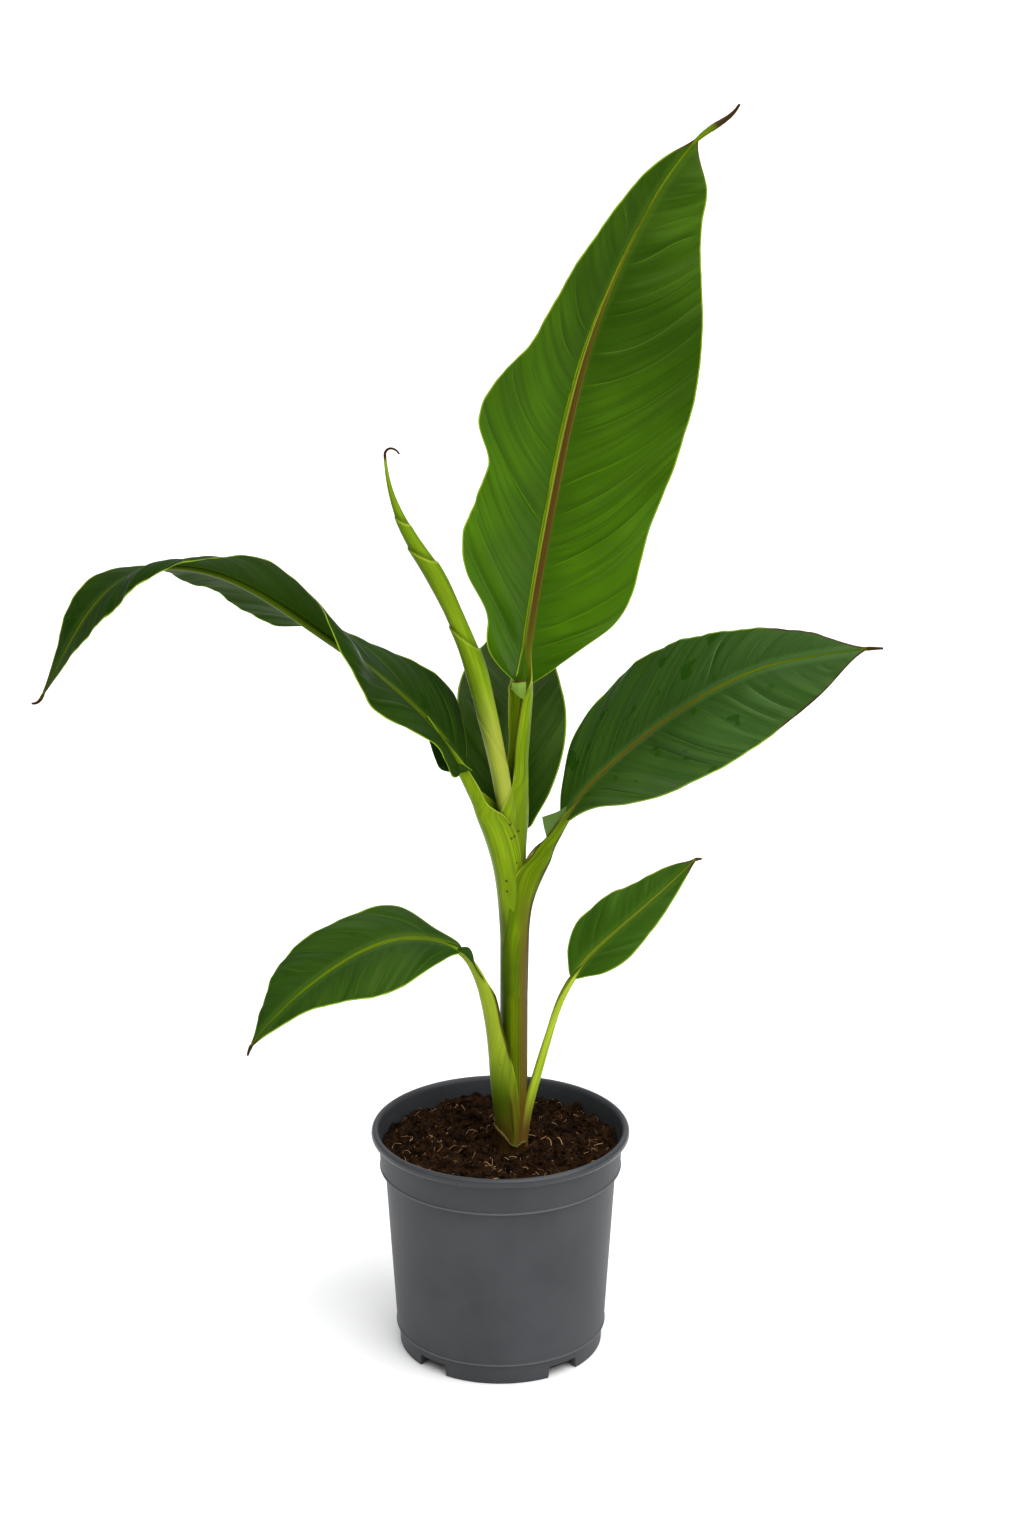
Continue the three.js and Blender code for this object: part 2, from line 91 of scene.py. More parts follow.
def new_material(name):
    """A new material and its tree."""
    material = bpy.data.materials.new(name)
    material.use_nodes = True
    return material, material.node_tree


def finish(tree, tone, rough, gloss, normal=None, tint=(1.0, 1.0, 1.0)):
    """Sets the tree's shader: colour, roughness, specular level, relief and the gloss's tint."""
    sockets = tree.nodes["Principled BSDF"].inputs
    feed(tree, sockets["Base Color"], tone)
    feed(tree, sockets["Roughness"], rough)
    feed(tree, sockets["Specular IOR Level"], gloss)
    feed(tree, sockets["Specular Tint"], tint)
    if normal is not None:
        feed(tree, sockets["Normal"], normal)


def mixed(tree, share, a, b):
    """Colour a, turning to b as share goes from 0 to 1."""
    return add(tree, "ShaderNodeMix", {0: share, 6: a, 7: b}, data_type="RGBA").outputs[2]


def step(tree, value, low, high, bottom=0.0, top=1.0):
    """value taken smoothly from the range low to high onto bottom to top."""
    sockets = {"Value": value, "From Min": low, "From Max": high, "To Min": bottom, "To Max": top}
    return add(tree, "ShaderNodeMapRange", sockets, interpolation_type="SMOOTHSTEP").outputs[0]


def layered(tree, tone, *layers):
    """Colours laid over a tone in turn. A layer is (pattern, low, high, strength, colour), and
    comes in as its pattern goes from low to high."""
    for pattern, low, high, strength, colour in layers:
        tone = mixed(tree, step(tree, pattern, low, high, 0, strength), tone, colour)
    return tone


def worked(tree, a, b, operation="MULTIPLY"):
    """Two numbers worked into one: multiplied, unless the operation is another."""
    return add(tree, "ShaderNodeMath", {0: a, 1: b}, operation=operation).outputs[0]


def speckle(tree, vector, scale, detail=3.0, rough=0.55):
    sockets = {"Vector": vector, "Scale": scale, "Detail": detail, "Roughness": rough}
    return add(tree, "ShaderNodeTexNoise", sockets).outputs[0]


def stretched(tree, vector, scale):
    return add(tree, "ShaderNodeMapping", {"Vector": vector, "Scale": scale}).outputs[0]


def relief(tree, height, distance_mm, strength, under=None):
    sockets = {"Height": height, "Distance": distance_mm * MM, "Strength": strength}
    if under is not None:
        sockets["Normal"] = under
    return add(tree, "ShaderNodeBump", sockets).outputs[0]


def object_place(tree):
    return add(tree, "ShaderNodeTexCoord").outputs["Object"]


def placed(name, data):
    """A new object in the scene, at the origin."""
    made = bpy.data.objects.new(name, data)
    bpy.context.scene.collection.objects.link(made)
    return made


def mesh_from(name, sheets, material, smooth_degrees=50.0):
    """One closed mesh of sheets, each a grid of points in mm with UV maps by name, and its
    grid neighbours joined. Sheets that share an edge are welded there."""
    corners, faces, maps, start = [], [], {}, 0
    for points, sheet_maps in sheets:
        rows, columns = points.shape[:2]
        corners.append(points.reshape(-1, 3))
        index = np.arange(rows * columns).reshape(rows, columns) + start
        quads = np.stack([index[:-1, :-1], index[:-1, 1:], index[1:, 1:], index[1:, :-1]], -1)
        faces.append(quads.reshape(-1, 4))
        for key, values in sheet_maps.items():
            maps.setdefault(key, []).append(values.reshape(-1, 2))
        start += rows * columns
    vertices = np.concatenate(corners) * MM
    quads = np.concatenate(faces)
    mesh = bpy.data.meshes.new(name)
    mesh.from_pydata(vertices.tolist(), [], quads.tolist())
    for key, values in maps.items():
        layer = mesh.uv_layers.new(name=key)
        layer.uv.foreach_set("vector", np.concatenate(values)[quads.ravel()].astype(np.float32).ravel())
    work = bmesh.new()
    work.from_mesh(mesh)
    bmesh.ops.remove_doubles(work, verts=work.verts, dist=1e-6)
    bmesh.ops.dissolve_degenerate(work, edges=work.edges, dist=1e-7)
    bmesh.ops.recalc_face_normals(work, faces=work.faces)
    work.to_mesh(mesh)
    work.free()
    mesh.shade_smooth()
    mesh.set_sharp_from_angle(angle=math.radians(smooth_degrees))
    mesh.materials.append(material)
    return placed(name, mesh)


def applied(piece):
    """The piece's modifiers taken up into its mesh."""
    depsgraph = bpy.context.evaluated_depsgraph_get()
    mesh = bpy.data.meshes.new_from_object(piece.evaluated_get(depsgraph))
    piece.modifiers.clear()
    piece.data = mesh
    return piece


def rounded(corners, steps=4):
    """A profile (radius, height, bend) with each corner rounded by its bend."""
    line = []
    for i, (r, z, bend) in enumerate(corners):
        here = np.array([r, z])
        if bend == 0 or i in (0, len(corners) - 1):
            line.append(here)
            continue
        before = np.array(corners[i - 1][:2]) - here
        after = np.array(corners[i + 1][:2]) - here
        near = here + before * min(bend / np.linalg.norm(before), 0.49)
        far = here + after * min(bend / np.linalg.norm(after), 0.49)
        for k in range(steps + 1):
            s = k / steps
            line.append((1 - s) ** 2 * near + 2 * s * (1 - s) * here + s * s * far)
    return np.array(line)


def turned(line, sides):
    """A profile turned about the Z axis, as a grid whose last column is its first again."""
    angles = np.linspace(0, 2 * np.pi, sides + 1)
    r, z = line[:, 0][:, None], line[:, 1][:, None]
    return np.stack([r * np.cos(angles), r * np.sin(angles), z + 0 * angles], -1)


lip_bottom = pot_height - lip_height
ledge = foot_height - 1.4
bead = 0.55
floor_top = pad_lift + pot_wall
pot_profile = rounded(
    [
        (0, 0, 0),
        (pad_radius, 0, 0.6),
        (pad_radius + 2, pad_lift, 0.8),
        (foot_radius - 2.6, pad_lift, 0.8),
        (foot_radius - 2.1, 0, 0.4),
        (foot_radius, 0, 0.5),
        (foot_radius + 0.5, ledge, 0.6),
        (body_foot + bead, ledge + 0.5, 0.3),
        (body_foot + bead, foot_height, 0.3),
        (body_foot + 0.1, foot_height + 0.8, 0.5),
        (body_top - 0.2, band_bottom - 0.6, 0.5),
        (body_top + 2.2, band_bottom, 0.5),
        (band_radius - 1.2 + bead, band_bottom + 0.5, 0.3),
        (band_radius - 1.2 + bead, band_bottom + 1.3, 0.3),
        (band_radius - 1.15, band_bottom + 2.0, 0.5),
        (band_radius, lip_bottom, 0.7),
        (rim_radius - 1.2, lip_bottom + 0.1, 0.9),
        (rim_radius, lip_bottom + 1.6, 0.9),
        (rim_radius, pot_height - 1.6, 1.1),
        (rim_radius - 1.5, pot_height, 1.3),
        (rim_radius - 3.2, pot_height - 0.1, 1.0),
        (rim_radius - lip_width, pot_height - 1.8, 1.0),
        (band_radius - pot_wall, lip_bottom - 1, 1.0),
        (band_radius - 1.2 - pot_wall, band_bottom + 2.4, 0.8),
        (body_top - pot_wall, band_bottom - 0.6, 0.8),
        (body_foot - pot_wall, foot_height + 1, 0.8),
        (foot_radius - pot_wall, ledge, 0.8),
        (foot_radius - pot_wall - 0.4, floor_top, 0.8),
        (pad_radius + 1, floor_top, 0.8),
        (pad_radius - 1, pot_wall, 0.8),
        (0, pot_wall, 0),
    ]
)

plastic, tree = new_material("pot_plastic")
place = object_place(tree)
cloud = speckle(tree, place, 22.0, 4.0)
grain = speckle(tree, place, 2600.0, 2.0)
scuff = speckle(tree, stretched(tree, place, (60, 60, 300)), 1.0, 5.0, 0.7)
tone = layered(
    tree,
    (0.034, 0.0365, 0.040),
    (cloud, 0.3, 0.7, 1.0, (0.047, 0.050, 0.0545)),
    (scuff, 0.66, 0.8, 0.3, (0.08, 0.084, 0.09)),
)
height = add(tree, "ShaderNodeSeparateXYZ", {0: place}).outputs[2]
# Painted highlight: a thin lighter line along the foot's ledge and along the foot of the band, where light
# catches those edges.
for lit_line_height in (ledge + 0.9, band_bottom + 1.0):
    away = worked(tree, worked(tree, height, lit_line_height * MM, "SUBTRACT"), 0.0, "ABSOLUTE")
    tone = mixed(tree, step(tree, away, 0.7 * MM, 0.3 * MM, 0, 0.5), tone, (0.13, 0.135, 0.14))
satin = step(tree, cloud, 0.25, 0.75, 0.46, 0.56)
near_lip = step(tree, height, (pot_height - 8) * MM, (pot_height - 5) * MM, 0, 0.2)
finish(tree, tone, worked(tree, satin, near_lip, "SUBTRACT"), 0.22, relief(tree, grain, 0.05, 0.5))


def open_tree(name, kind, numbers):
    """A Geometry Nodes tree with named inputs of one kind, and the sockets they come in by."""
    tree = bpy.data.node_groups.new(name, "GeometryNodeTree")
    for way in ("INPUT", "OUTPUT"):
        tree.interface.new_socket("Geometry", in_out=way, socket_type="NodeSocketGeometry")
    for label, value in numbers.items():
        tree.interface.new_socket(label, in_out="INPUT", socket_type=kind).default_value = value
    return tree, add(tree, "NodeGroupInput").outputs


def close_tree(tree, geometry, material):
    """The end of a tree: its instances made real and its material set."""
    real = add(tree, "GeometryNodeRealizeInstances", {0: geometry}).outputs[0]
    painted = add(tree, "GeometryNodeSetMaterial", {"Geometry": real, "Material": material})
    add(tree, "NodeGroupOutput", {0: painted.outputs[0]})
    return tree


def turning_tree(name, rings, sides, material):
    """A Geometry Nodes tree that turns a profile about the Z axis. The profile comes in as the
    points of a line, each at its radius along X and its height along Z."""
    tree, given = open_tree(name, "NodeSocketInt", {"Rings": rings, "Sides": sides})
    columns = worked(tree, given["Sides"], 1.0, "ADD")
    grid = add(tree, "GeometryNodeMeshGrid", {"Vertices X": given["Rings"], "Vertices Y": columns})
    index = add(tree, "GeometryNodeInputIndex").outputs[0]
    ring = worked(tree, worked(tree, index, columns, "DIVIDE"), 0.0, "FLOOR")
    turn = worked(tree, worked(tree, index, columns, "MODULO"), given["Sides"], "DIVIDE")
    angle = worked(tree, turn, 2 * math.pi)
    place = add(tree, "GeometryNodeInputPosition").outputs[0]
    sampling = {"Geometry": given["Geometry"], "Value": place, "Index": ring}
    sampled = add(tree, "GeometryNodeSampleIndex", sampling, data_type="FLOAT_VECTOR").outputs[0]
    radius, _, height = add(tree, "ShaderNodeSeparateXYZ", {0: sampled}).outputs
    x = worked(tree, radius, worked(tree, angle, 0.0, "COSINE"))
    y = worked(tree, radius, worked(tree, angle, 0.0, "SINE"))
    spot = add(tree, "ShaderNodeCombineXYZ", {0: x, 1: y, 2: height}).outputs[0]
    swept = add(tree, "GeometryNodeSetPosition", {"Geometry": grid.outputs[0], "Position": spot})
    weld = {"Geometry": swept.outputs[0], "Distance": 1e-6}
    return close_tree(tree, add(tree, "GeometryNodeMergeByDistance", weld).outputs[0], material)


profile_mesh = bpy.data.meshes.new("pot_profile")
profile_points = [(r * MM, 0, z * MM) for r, z in pot_profile]
profile_mesh.from_pydata(profile_points, [(k, k + 1) for k in range(len(pot_profile) - 1)], [])
pot = placed("pot_shell", profile_mesh)
turning = pot.modifiers.new("turning", "NODES")
turning.node_group = turning_tree("turned_pot", len(pot_profile), pot_sides, plastic)

# Four drainage notches in the foot, two in front and two behind, a little wider at the bottom
notch_high = 7.0
notch_wide = math.radians(18)
notch_turn = -92.0
notch_spread = 39.5
notch_flare = 0.02
block_faces = ((0, 1, 3, 2), (4, 6, 7, 5), (0, 4, 5, 1), (2, 3, 7, 6), (0, 2, 6, 4), (1, 5, 7, 3))
cutter_mesh = bpy.data.meshes.new("notch_cutter")
cutter_shape = bmesh.new()
for side in (notch_turn, notch_turn + 180):
    for hand in (-1, 1):
        middle = math.radians(side + hand * notch_spread)
        ring = []
        for radius in (foot_radius - 7.5, foot_radius + 6):
            for angle in (middle - notch_wide / 2, middle + notch_wide / 2):
                flare = math.copysign(notch_flare, angle - middle)
                for z, turn in ((-2.0, angle + flare), (notch_high, angle)):
                    ring.append(Vector((radius * math.cos(turn), radius * math.sin(turn), z)) * MM)
        block = [cutter_shape.verts.new(p) for p in ring]
        for face in block_faces:
            cutter_shape.faces.new([block[k] for k in face])
bmesh.ops.recalc_face_normals(cutter_shape, faces=cutter_shape.faces)
cutter_shape.to_mesh(cutter_mesh)
cutter_shape.free()
cutter_mesh.materials.append(plastic)
cutter = placed("notch_cutter", cutter_mesh)
cut = pot.modifiers.new("notches", "BOOLEAN")
cut.operation = "DIFFERENCE"
cut.solver = "EXACT"
cut.object = cutter
applied(pot)
bpy.data.objects.remove(cutter)
shell = bmesh.new()
shell.from_mesh(pot.data)
bmesh.ops.recalc_face_normals(shell, faces=shell.faces)
for shell_face in shell.faces:
    shell_face.material_index = 0
shell.to_mesh(pot.data)
shell.free()
pot.data.materials.clear()
pot.data.materials.append(plastic)
pot.data.shade_smooth()
pot.data.set_sharp_from_angle(angle=math.radians(30))
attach(pot, BODY)
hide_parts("pot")


# Potting mix
# Moist peat and coir that fills the pot to about 11 mm below its rim at the wall: a body with a
# lumpy top, crumbs pressed into it, and coir fibres that lie on it and curl up.
soil_top = 119.0
soil_radius = band_radius - 1.2 - pot_wall - 0.2
stem_x = 7.0


def soil_height(x, y):
    """Height of the mix at a point: a low mound round the stem and a bank round it, with clods."""
    r, a = math.hypot(x, y), math.atan2(y, x)
    s = min(max((r - 20) / 26, 0.0), 1.0)
    swell = 4.0 * math.exp(-((r / 26) ** 2)) + 5.0 * s * s * (3 - 2 * s)
    waves = math.sin(3 * a + r / 7) + math.sin(5 * a - r / 5) + math.sin(r / 4 + a)
    lumps = 0.0
    for size, height in ((15.0, 3.4), (7.0, 3.0), (3.4, 1.9), (1.5, 0.8)):
        lumps += height * noise.noise(Vector((x / size, y / size, size)))
    return soil_top + swell + 0.5 * waves + lumps * min(1.0, 0.35 + math.hypot(x - stem_x, y) / 45)


soil_rings = 96
soil_around = 288
around = np.linspace(0, 2 * np.pi, soil_around + 1)
top = np.zeros((soil_rings, soil_around + 1, 3))
for i in range(soil_rings):
    r = soil_radius * (1 - (i / (soil_rings - 1)) ** 1.15)
    for j in range(soil_around):
        x, y = r * math.cos(around[j]), r * math.sin(around[j])
        top[i, j] = (x, y, soil_height(x, y))
    top[i, -1] = top[i, 0]
side_profile = np.array(
    [
        (0, pot_wall + 0.3),
        (pad_radius - 1.4, pot_wall + 0.3),
        (pad_radius + 0.8, floor_top + 0.3),
        (foot_radius - pot_wall - 0.8, floor_top + 0.3),
        (foot_radius - pot_wall - 0.4, ledge),
        (body_foot - pot_wall - 0.4, foot_height + 1),
        (body_top - pot_wall - 0.4, band_bottom - 0.5),
        (soil_radius, band_bottom + 2.6),
    ]
)
side = turned(side_profile, soil_around)
side = np.concatenate([side, top[:1]])

mix, tree = new_material("potting_mix")
place = object_place(tree)
clods = speckle(tree, place, 160.0, 6.0, 0.7)
threads = speckle(tree, stretched(tree, place, (900, 2600, 900)), 1.0, 4.0, 0.7)
bits = speckle(tree, place, 900.0, 2.0)
tone = layered(
    tree,
    (0.003, 0.0014, 0.0006),
    (clods, 0.35, 0.65, 1.0, (0.028, 0.0125, 0.0048)),
    (threads, 0.6, 0.72, 0.7, (0.06, 0.027, 0.010)),
    (bits, 0.74, 0.8, 0.6, (0.22, 0.13, 0.06)),
)
bumps = relief(tree, threads, 0.6, 0.8, relief(tree, bits, 0.9, 0.9))
finish(tree, tone, step(tree, clods, 0.3, 0.7, 0.75, 0.95), 0.03, bumps)

soil = mesh_from("potting_mix", [(side, {}), (top, {})], mix, 80.0)
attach(soil, BODY)
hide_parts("soil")


def vectors(tree, operation, a, b=(0, 0, 0), out=0):
    """Two vectors worked into one, or into a length or distance where out is 1."""
    return add(tree, "ShaderNodeVectorMath", {0: a, 1: b}, operation=operation).outputs[out]


def scatter_tree(name, seed, density, shapes, sizes, tilt_degrees, sink_mm, material):
    """A Geometry Nodes tree that strews shapes over a surface: points on the faces that look
    up, one of the shapes on each, turned and sized at random, and made real."""
    numbers = {"Density": density, "Smallest": sizes[0], "Largest": sizes[1]}
    tree, given = open_tree(name, "NodeSocketFloat", numbers)
    normal = add(tree, "GeometryNodeInputNormal").outputs[0]
    spot = add(tree, "GeometryNodeInputPosition").outputs[0]
    upward = add(tree, "ShaderNodeSeparateXYZ", {0: normal}).outputs[2]
    height = add(tree, "ShaderNodeSeparateXYZ", {0: spot}).outputs[2]
    off_axis = vectors(tree, "LENGTH", vectors(tree, "MULTIPLY", spot, (1, 1, 0)), out=1)
    chosen = True
    for value, limit, operation in (
        (upward, 0.2, "GREATER_THAN"),
        (height, (soil_top - 8) * MM, "GREATER_THAN"),
        (off_axis, (soil_radius - 1.6 * sizes[1]) * MM, "LESS_THAN"),
    ):
        fits = add(tree, "FunctionNodeCompare", {0: value, 1: limit}, operation=operation).outputs[0]
        chosen = add(tree, "FunctionNodeBooleanMath", {0: chosen, 1: fits}).outputs[0]
    spread = {"Mesh": given["Geometry"], "Selection": chosen, "Density": given["Density"], "Seed": seed}
    points = add(tree, "GeometryNodeDistributePointsOnFaces", spread).outputs["Points"]
    joined = add(tree, "GeometryNodeJoinGeometry")
    for shape in shapes(tree):
        single = add(tree, "GeometryNodeGeometryToInstance", {0: shape})
        tree.links.new(single.outputs[0], joined.inputs[0])
    tilt = math.radians(tilt_degrees)
    turns = {0: (-tilt, -tilt, 0.0), 1: (tilt, tilt, 2 * math.pi), "Seed": seed + 1}
    turn = add(tree, "FunctionNodeRandomValue", turns, data_type="FLOAT_VECTOR").outputs[0]
    scales = {2: given["Smallest"], 3: given["Largest"], "Seed": seed + 2}
    size = add(tree, "FunctionNodeRandomValue", scales, data_type="FLOAT").outputs[1]
    picks = {4: 0, 5: 50, "Seed": seed + 3}
    pick = add(tree, "FunctionNodeRandomValue", picks, data_type="INT").outputs[2]
    setting = {"Points": points, "Instance": joined.outputs[0], "Pick Instance": True}
    setting |= {"Instance Index": pick, "Rotation": turn, "Scale": size}
    strewn = add(tree, "GeometryNodeInstanceOnPoints", setting).outputs[0]
    sinking = {"Instances": strewn, "Translation": (0, 0, -sink_mm * MM), "Local Space": False}
    return close_tree(tree, add(tree, "GeometryNodeTranslateInstances", sinking).outputs[0], material)


def crumb_shapes(tree):
    """Lumps of a few sizes: small balls pushed out of round by noise."""
    shapes = []
    for k in range(5):
        ball = add(tree, "GeometryNodeMeshIcoSphere", {"Radius": MM, "Subdivisions": 2}).outputs[0]
        spot = add(tree, "GeometryNodeInputPosition").outputs[0]
        shifted = vectors(tree, "ADD", spot, (k * 0.01, 0, 0))
        rough = add(tree, "ShaderNodeTexNoise", {"Vector": shifted, "Scale": 900.0, "Detail": 1.0})
        centred = vectors(tree, "SUBTRACT", rough.outputs["Color"], (0.5, 0.5, 0.5))
        push = vectors(tree, "MULTIPLY", centred, (2.4 * MM,) * 3)
        moved = add(tree, "GeometryNodeSetPosition", {"Geometry": ball, "Offset": push})
        shapes.append(moved.outputs[0])
    return shapes


def fibre_shapes(tree):
    """Coir fibres: thin bent strands, some nearly straight and some curled up."""
    bends = (
        (0.8, 0.6, 0.3), (0.3, 2.2, 0.8), (1.6, -1.0, 1.4),
        (0.1, 0.2, 0.2), (-0.6, 1.6, 1.9), (1.2, 1.4, 0.1),
    )
    shapes = []
    for across, lean, rise in bends:
        bend = {
            "Resolution": 7,
            "Start": (-2.2 * MM, 0, 0),
            "Middle": (across * MM, lean * MM, rise * MM),
            "End": (2.0 * MM, -0.5 * lean * MM, 0.3 * rise * MM),
        }
        line = add(tree, "GeometryNodeCurveQuadraticBezier", bend).outputs[0]
        circle = add(tree, "GeometryNodeCurvePrimitiveCircle", {"Resolution": 4, "Radius": 0.13 * MM})
        strand = {"Curve": line, "Profile Curve": circle.outputs[0], "Fill Caps": True}
        shapes.append(add(tree, "GeometryNodeCurveToMesh", strand).outputs[0])
    return shapes


def fibre_material(name, scale, dark, pale, rough, gloss):
    """Fibre whose tone drifts from dark to pale."""
    material, tree = new_material(name)
    shade = step(tree, speckle(tree, object_place(tree), scale, 1.0), 0.35, 0.65)
    finish(tree, mixed(tree, shade, dark, pale), rough, gloss)
    return material


tan_coir = fibre_material("coir_fibre", 70.0, (0.11, 0.05, 0.018), (0.52, 0.31, 0.14), 0.7, 0.15)
dark_coir = fibre_material("dark_fibre", 90.0, (0.008, 0.0035, 0.0015), (0.065, 0.029, 0.011), 0.8, 0.08)

# What lies on the mix: name, seed, how many to a square metre, shapes, smallest and largest
# size, tilt in degrees, how deep it is sunk, and material
for name, *strewing in (
    ("soil_crumbs", 11, 52000.0, crumb_shapes, (0.5, 2.6), 180, 0.2, mix),
    ("soil_dark_fibres", 21, 80000.0, fibre_shapes, (0.4, 1.5), 55, -0.3, dark_coir),
    ("soil_tan_fibres", 31, 12000.0, fibre_shapes, (0.2, 1.2), 60, -0.7, tan_coir),
    ("soil_curled_fibres", 41, 2200.0, fibre_shapes, (1.0, 2.0), 50, -0.9, tan_coir),
):
    piece = placed(name, soil.data)
    scatter = piece.modifiers.new("scatter", "NODES")
    scatter.node_group = scatter_tree("strewn_" + name, *strewing)
    applied(piece)
    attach(piece, BODY)


# Pseudostem
# The false stem: leaf sheaths rolled tightly round each other. Smooth and satin, lime green
# on its left, olive to purplish brown on its right and at its foot, with fine long veins. The side
# turned to the left is darkened with painted shade.
stem = np.array(
    [
        (112, 7, 0, 9.3),
        (119, 7, 0, 9.2),
        (134, 7.3, 0, 8.4),
        (165, 7.7, 0, 7.9),
        (214, 7.8, 0, 7.9),
        (262, 7.8, 0, 7.8),
        (290, 7.3, 0.5, 7.3),
        (308, 6.8, 1, 7.0),
        (322, 7, 1.5, 6.2),
        (326, 7, 1.6, 3.6),
    ]
)


def keyed(values, s):
    """Smooth values at s (0 to 1) from values given at equal steps."""
    v = np.asarray(values, float)
    last = len(v) - 1
    if last == 0:
        return np.full_like(np.asarray(s, float), v[0])
    x = np.clip(np.asarray(s, float), 0, 1) * last
    i = np.minimum(x.astype(int), last - 1)
    u = x - i
    a, b, c, d = v[np.maximum(i - 1, 0)], v[i], v[i + 1], v[np.minimum(i + 2, last)]
    bend = (3 * b - a - 3 * c + d) * u**3
    return 0.5 * (2 * b + (c - a) * u + (2 * a - 5 * b + 4 * c - d) * u**2 + bend)


def smooth(x, low, high):
    s = np.clip((np.asarray(x, float) - low) / (high - low), 0, 1)
    return s * s * (3 - 2 * s)


def stem_at(z):
    """Middle (x, y) and radius of the stem at a height."""
    return [np.interp(z, stem[:, 0], stem[:, k]) for k in (1, 2, 3)]


def bearing_from(x, y, z, degrees):
    """Degrees between the way from the stem's axis to a place and a bearing."""
    cx, cy, _ = stem_at(z)
    turn = np.degrees(np.arctan2(y - cy, x - cx)) - degrees
    return np.abs((turn + 180) % 360 - 180)


def brownness(x, y, z):
    """How brown the stem's skin is at a place: most on its right and towards its foot."""
    side = smooth(bearing_from(x, y, z, -22), 62, 26) * smooth(z, 305, 235)
    foot = smooth(z, 165, 122) * 0.75
    return np.clip(0.85 * side + foot, 0, 1)


def seam_burn(x, y, z):
    """How dark the red-brown line up the right side of the stem is at a place."""
    return smooth(bearing_from(x, y, z, -15), 17, 8) * smooth(z, 175, 215) * smooth(z, 330, 300)


def deep_green_and_left_shade(x, y, z):
    """How deep the green is at a place: on the side of the stem turned to the left it is painted shade, and
    the green is a little deeper low down.
    """
    side = smooth(bearing_from(x, y, z, 196), 72, 30)
    return np.clip(0.75 * side * smooth(z, 340, 300) + 0.1 * smooth(z, 285, 235), 0, 0.85)


# where small dark blemishes sit on the front of the stem: x, z and radius
blemishes = (
    (5.6, 321.7, 0.55),
    (10.3, 316.4, 0.6),
    (6.4, 313.4, 0.5),
    (8.1, 314.2, 0.5),
    (9.5, 298.6, 0.4),
    (3.6, 288.5, 0.6),
    (3.9, 282.0, 0.5),
    (0.1, 178.0, 0.5),
)
blemish_tone = (0.045, 0.022, 0.006)
gloss_tint = (0.8, 1.0, 0.12)


def map_vector(tree, name):
    return add(tree, "ShaderNodeUVMap", uv_map=name).outputs[0]


def map_values(tree, name):
    """The two numbers that a UV map of that name holds."""
    return add(tree, "ShaderNodeSeparateXYZ", {0: map_vector(tree, name)}).outputs[:2]


def paired(a, b):
    """Two numbers for each point, as a UV map holds them."""
    return np.stack(np.broadcast_arrays(a, b), -1)


def shaded(colour, share):
    return tuple(share * c for c in colour)


def skin_material(name, lime, leaf_green, brown, deep=(0.022, 0.042, 0.001)):
    """A sheath's or stalk's skin: green, with fine veins along it. The Edge map says where it
    is pale and where deep green, the Tint map where brown and burnt, the Inside map where
    cream. Part of this is painted light and shade. The deep green on the stem's left side and
    on the rolled leaf is painted shade. So are the brown under the rolled leaf's overlapping
    edges and the burn along the tall midrib's right edge. The pale on the rolled leaf's right is
    painted light."""
    material, tree = new_material(name)
    grain_map = map_vector(tree, "Grain")
    tint, burn_and_shadow = map_values(tree, "Tint")
    pale, deep_green_and_shade = map_values(tree, "Edge")
    cream, _ = map_values(tree, "Inside")
    fine = speckle(tree, stretched(tree, grain_map, (2.2, 0.008, 1)), 1.0, 3.0, 0.6)
    broad = speckle(tree, stretched(tree, grain_map, (0.32, 0.012, 1)), 1.0, 2.0)
    cloudy = speckle(tree, stretched(tree, grain_map, (0.09, 0.02, 1)), 1.0, 3.0)
    tone = layered(
        tree,
        mixed(tree, step(tree, cloudy, 0.35, 0.65, 0.2, 1.0), leaf_green, lime),
        (fine, 0.5, 0.6, 0.85, shaded(leaf_green, 0.7)),
        (broad, 0.55, 0.75, 0.5, shaded(lime, 1.15)),
    )
    veined = step(tree, fine, 0.4, 0.7)
    # Deep green: partly the skin's own tone, partly painted shade on the stem's left side and on the rolled
    # leaf.
    tone = mixed(tree, deep_green_and_shade, tone, mixed(tree, veined, deep, shaded(deep, 1.7)))
    # Brown: the skin's own brown, and on the rolled leaf a painted shadow under each overlapping edge.
    tone = mixed(tree, tint, tone, mixed(tree, veined, brown, shaded(brown, 0.6)))
    tone = mixed(tree, pale, tone, (0.32, 0.38, 0.035))
    tone = mixed(tree, cream, tone, (0.70, 0.55, 0.18))
    flat = vectors(tree, "MULTIPLY", object_place(tree), (1, 0.15, 1))
    for x, z, radius in blemishes:
        away = vectors(tree, "DISTANCE", flat, (x * MM, -1.2 * MM, z * MM), 1)
        spot = step(tree, away, 1.9 * radius * MM, 1.0 * radius * MM, 0, 0.9)
        tone = mixed(tree, spot, tone, blemish_tone)
    # Dark red-brown: dry burnt tissue, and also painted shadow along the tall midrib's right edge.
    tone = mixed(tree, burn_and_shadow, tone, (0.030, 0.006, 0.004))
    rough = step(tree, broad, 0.3, 0.7, 0.34, 0.46)
    finish(tree, tone, rough, 0.15, relief(tree, fine, 0.14, 0.7), gloss_tint)
    return material


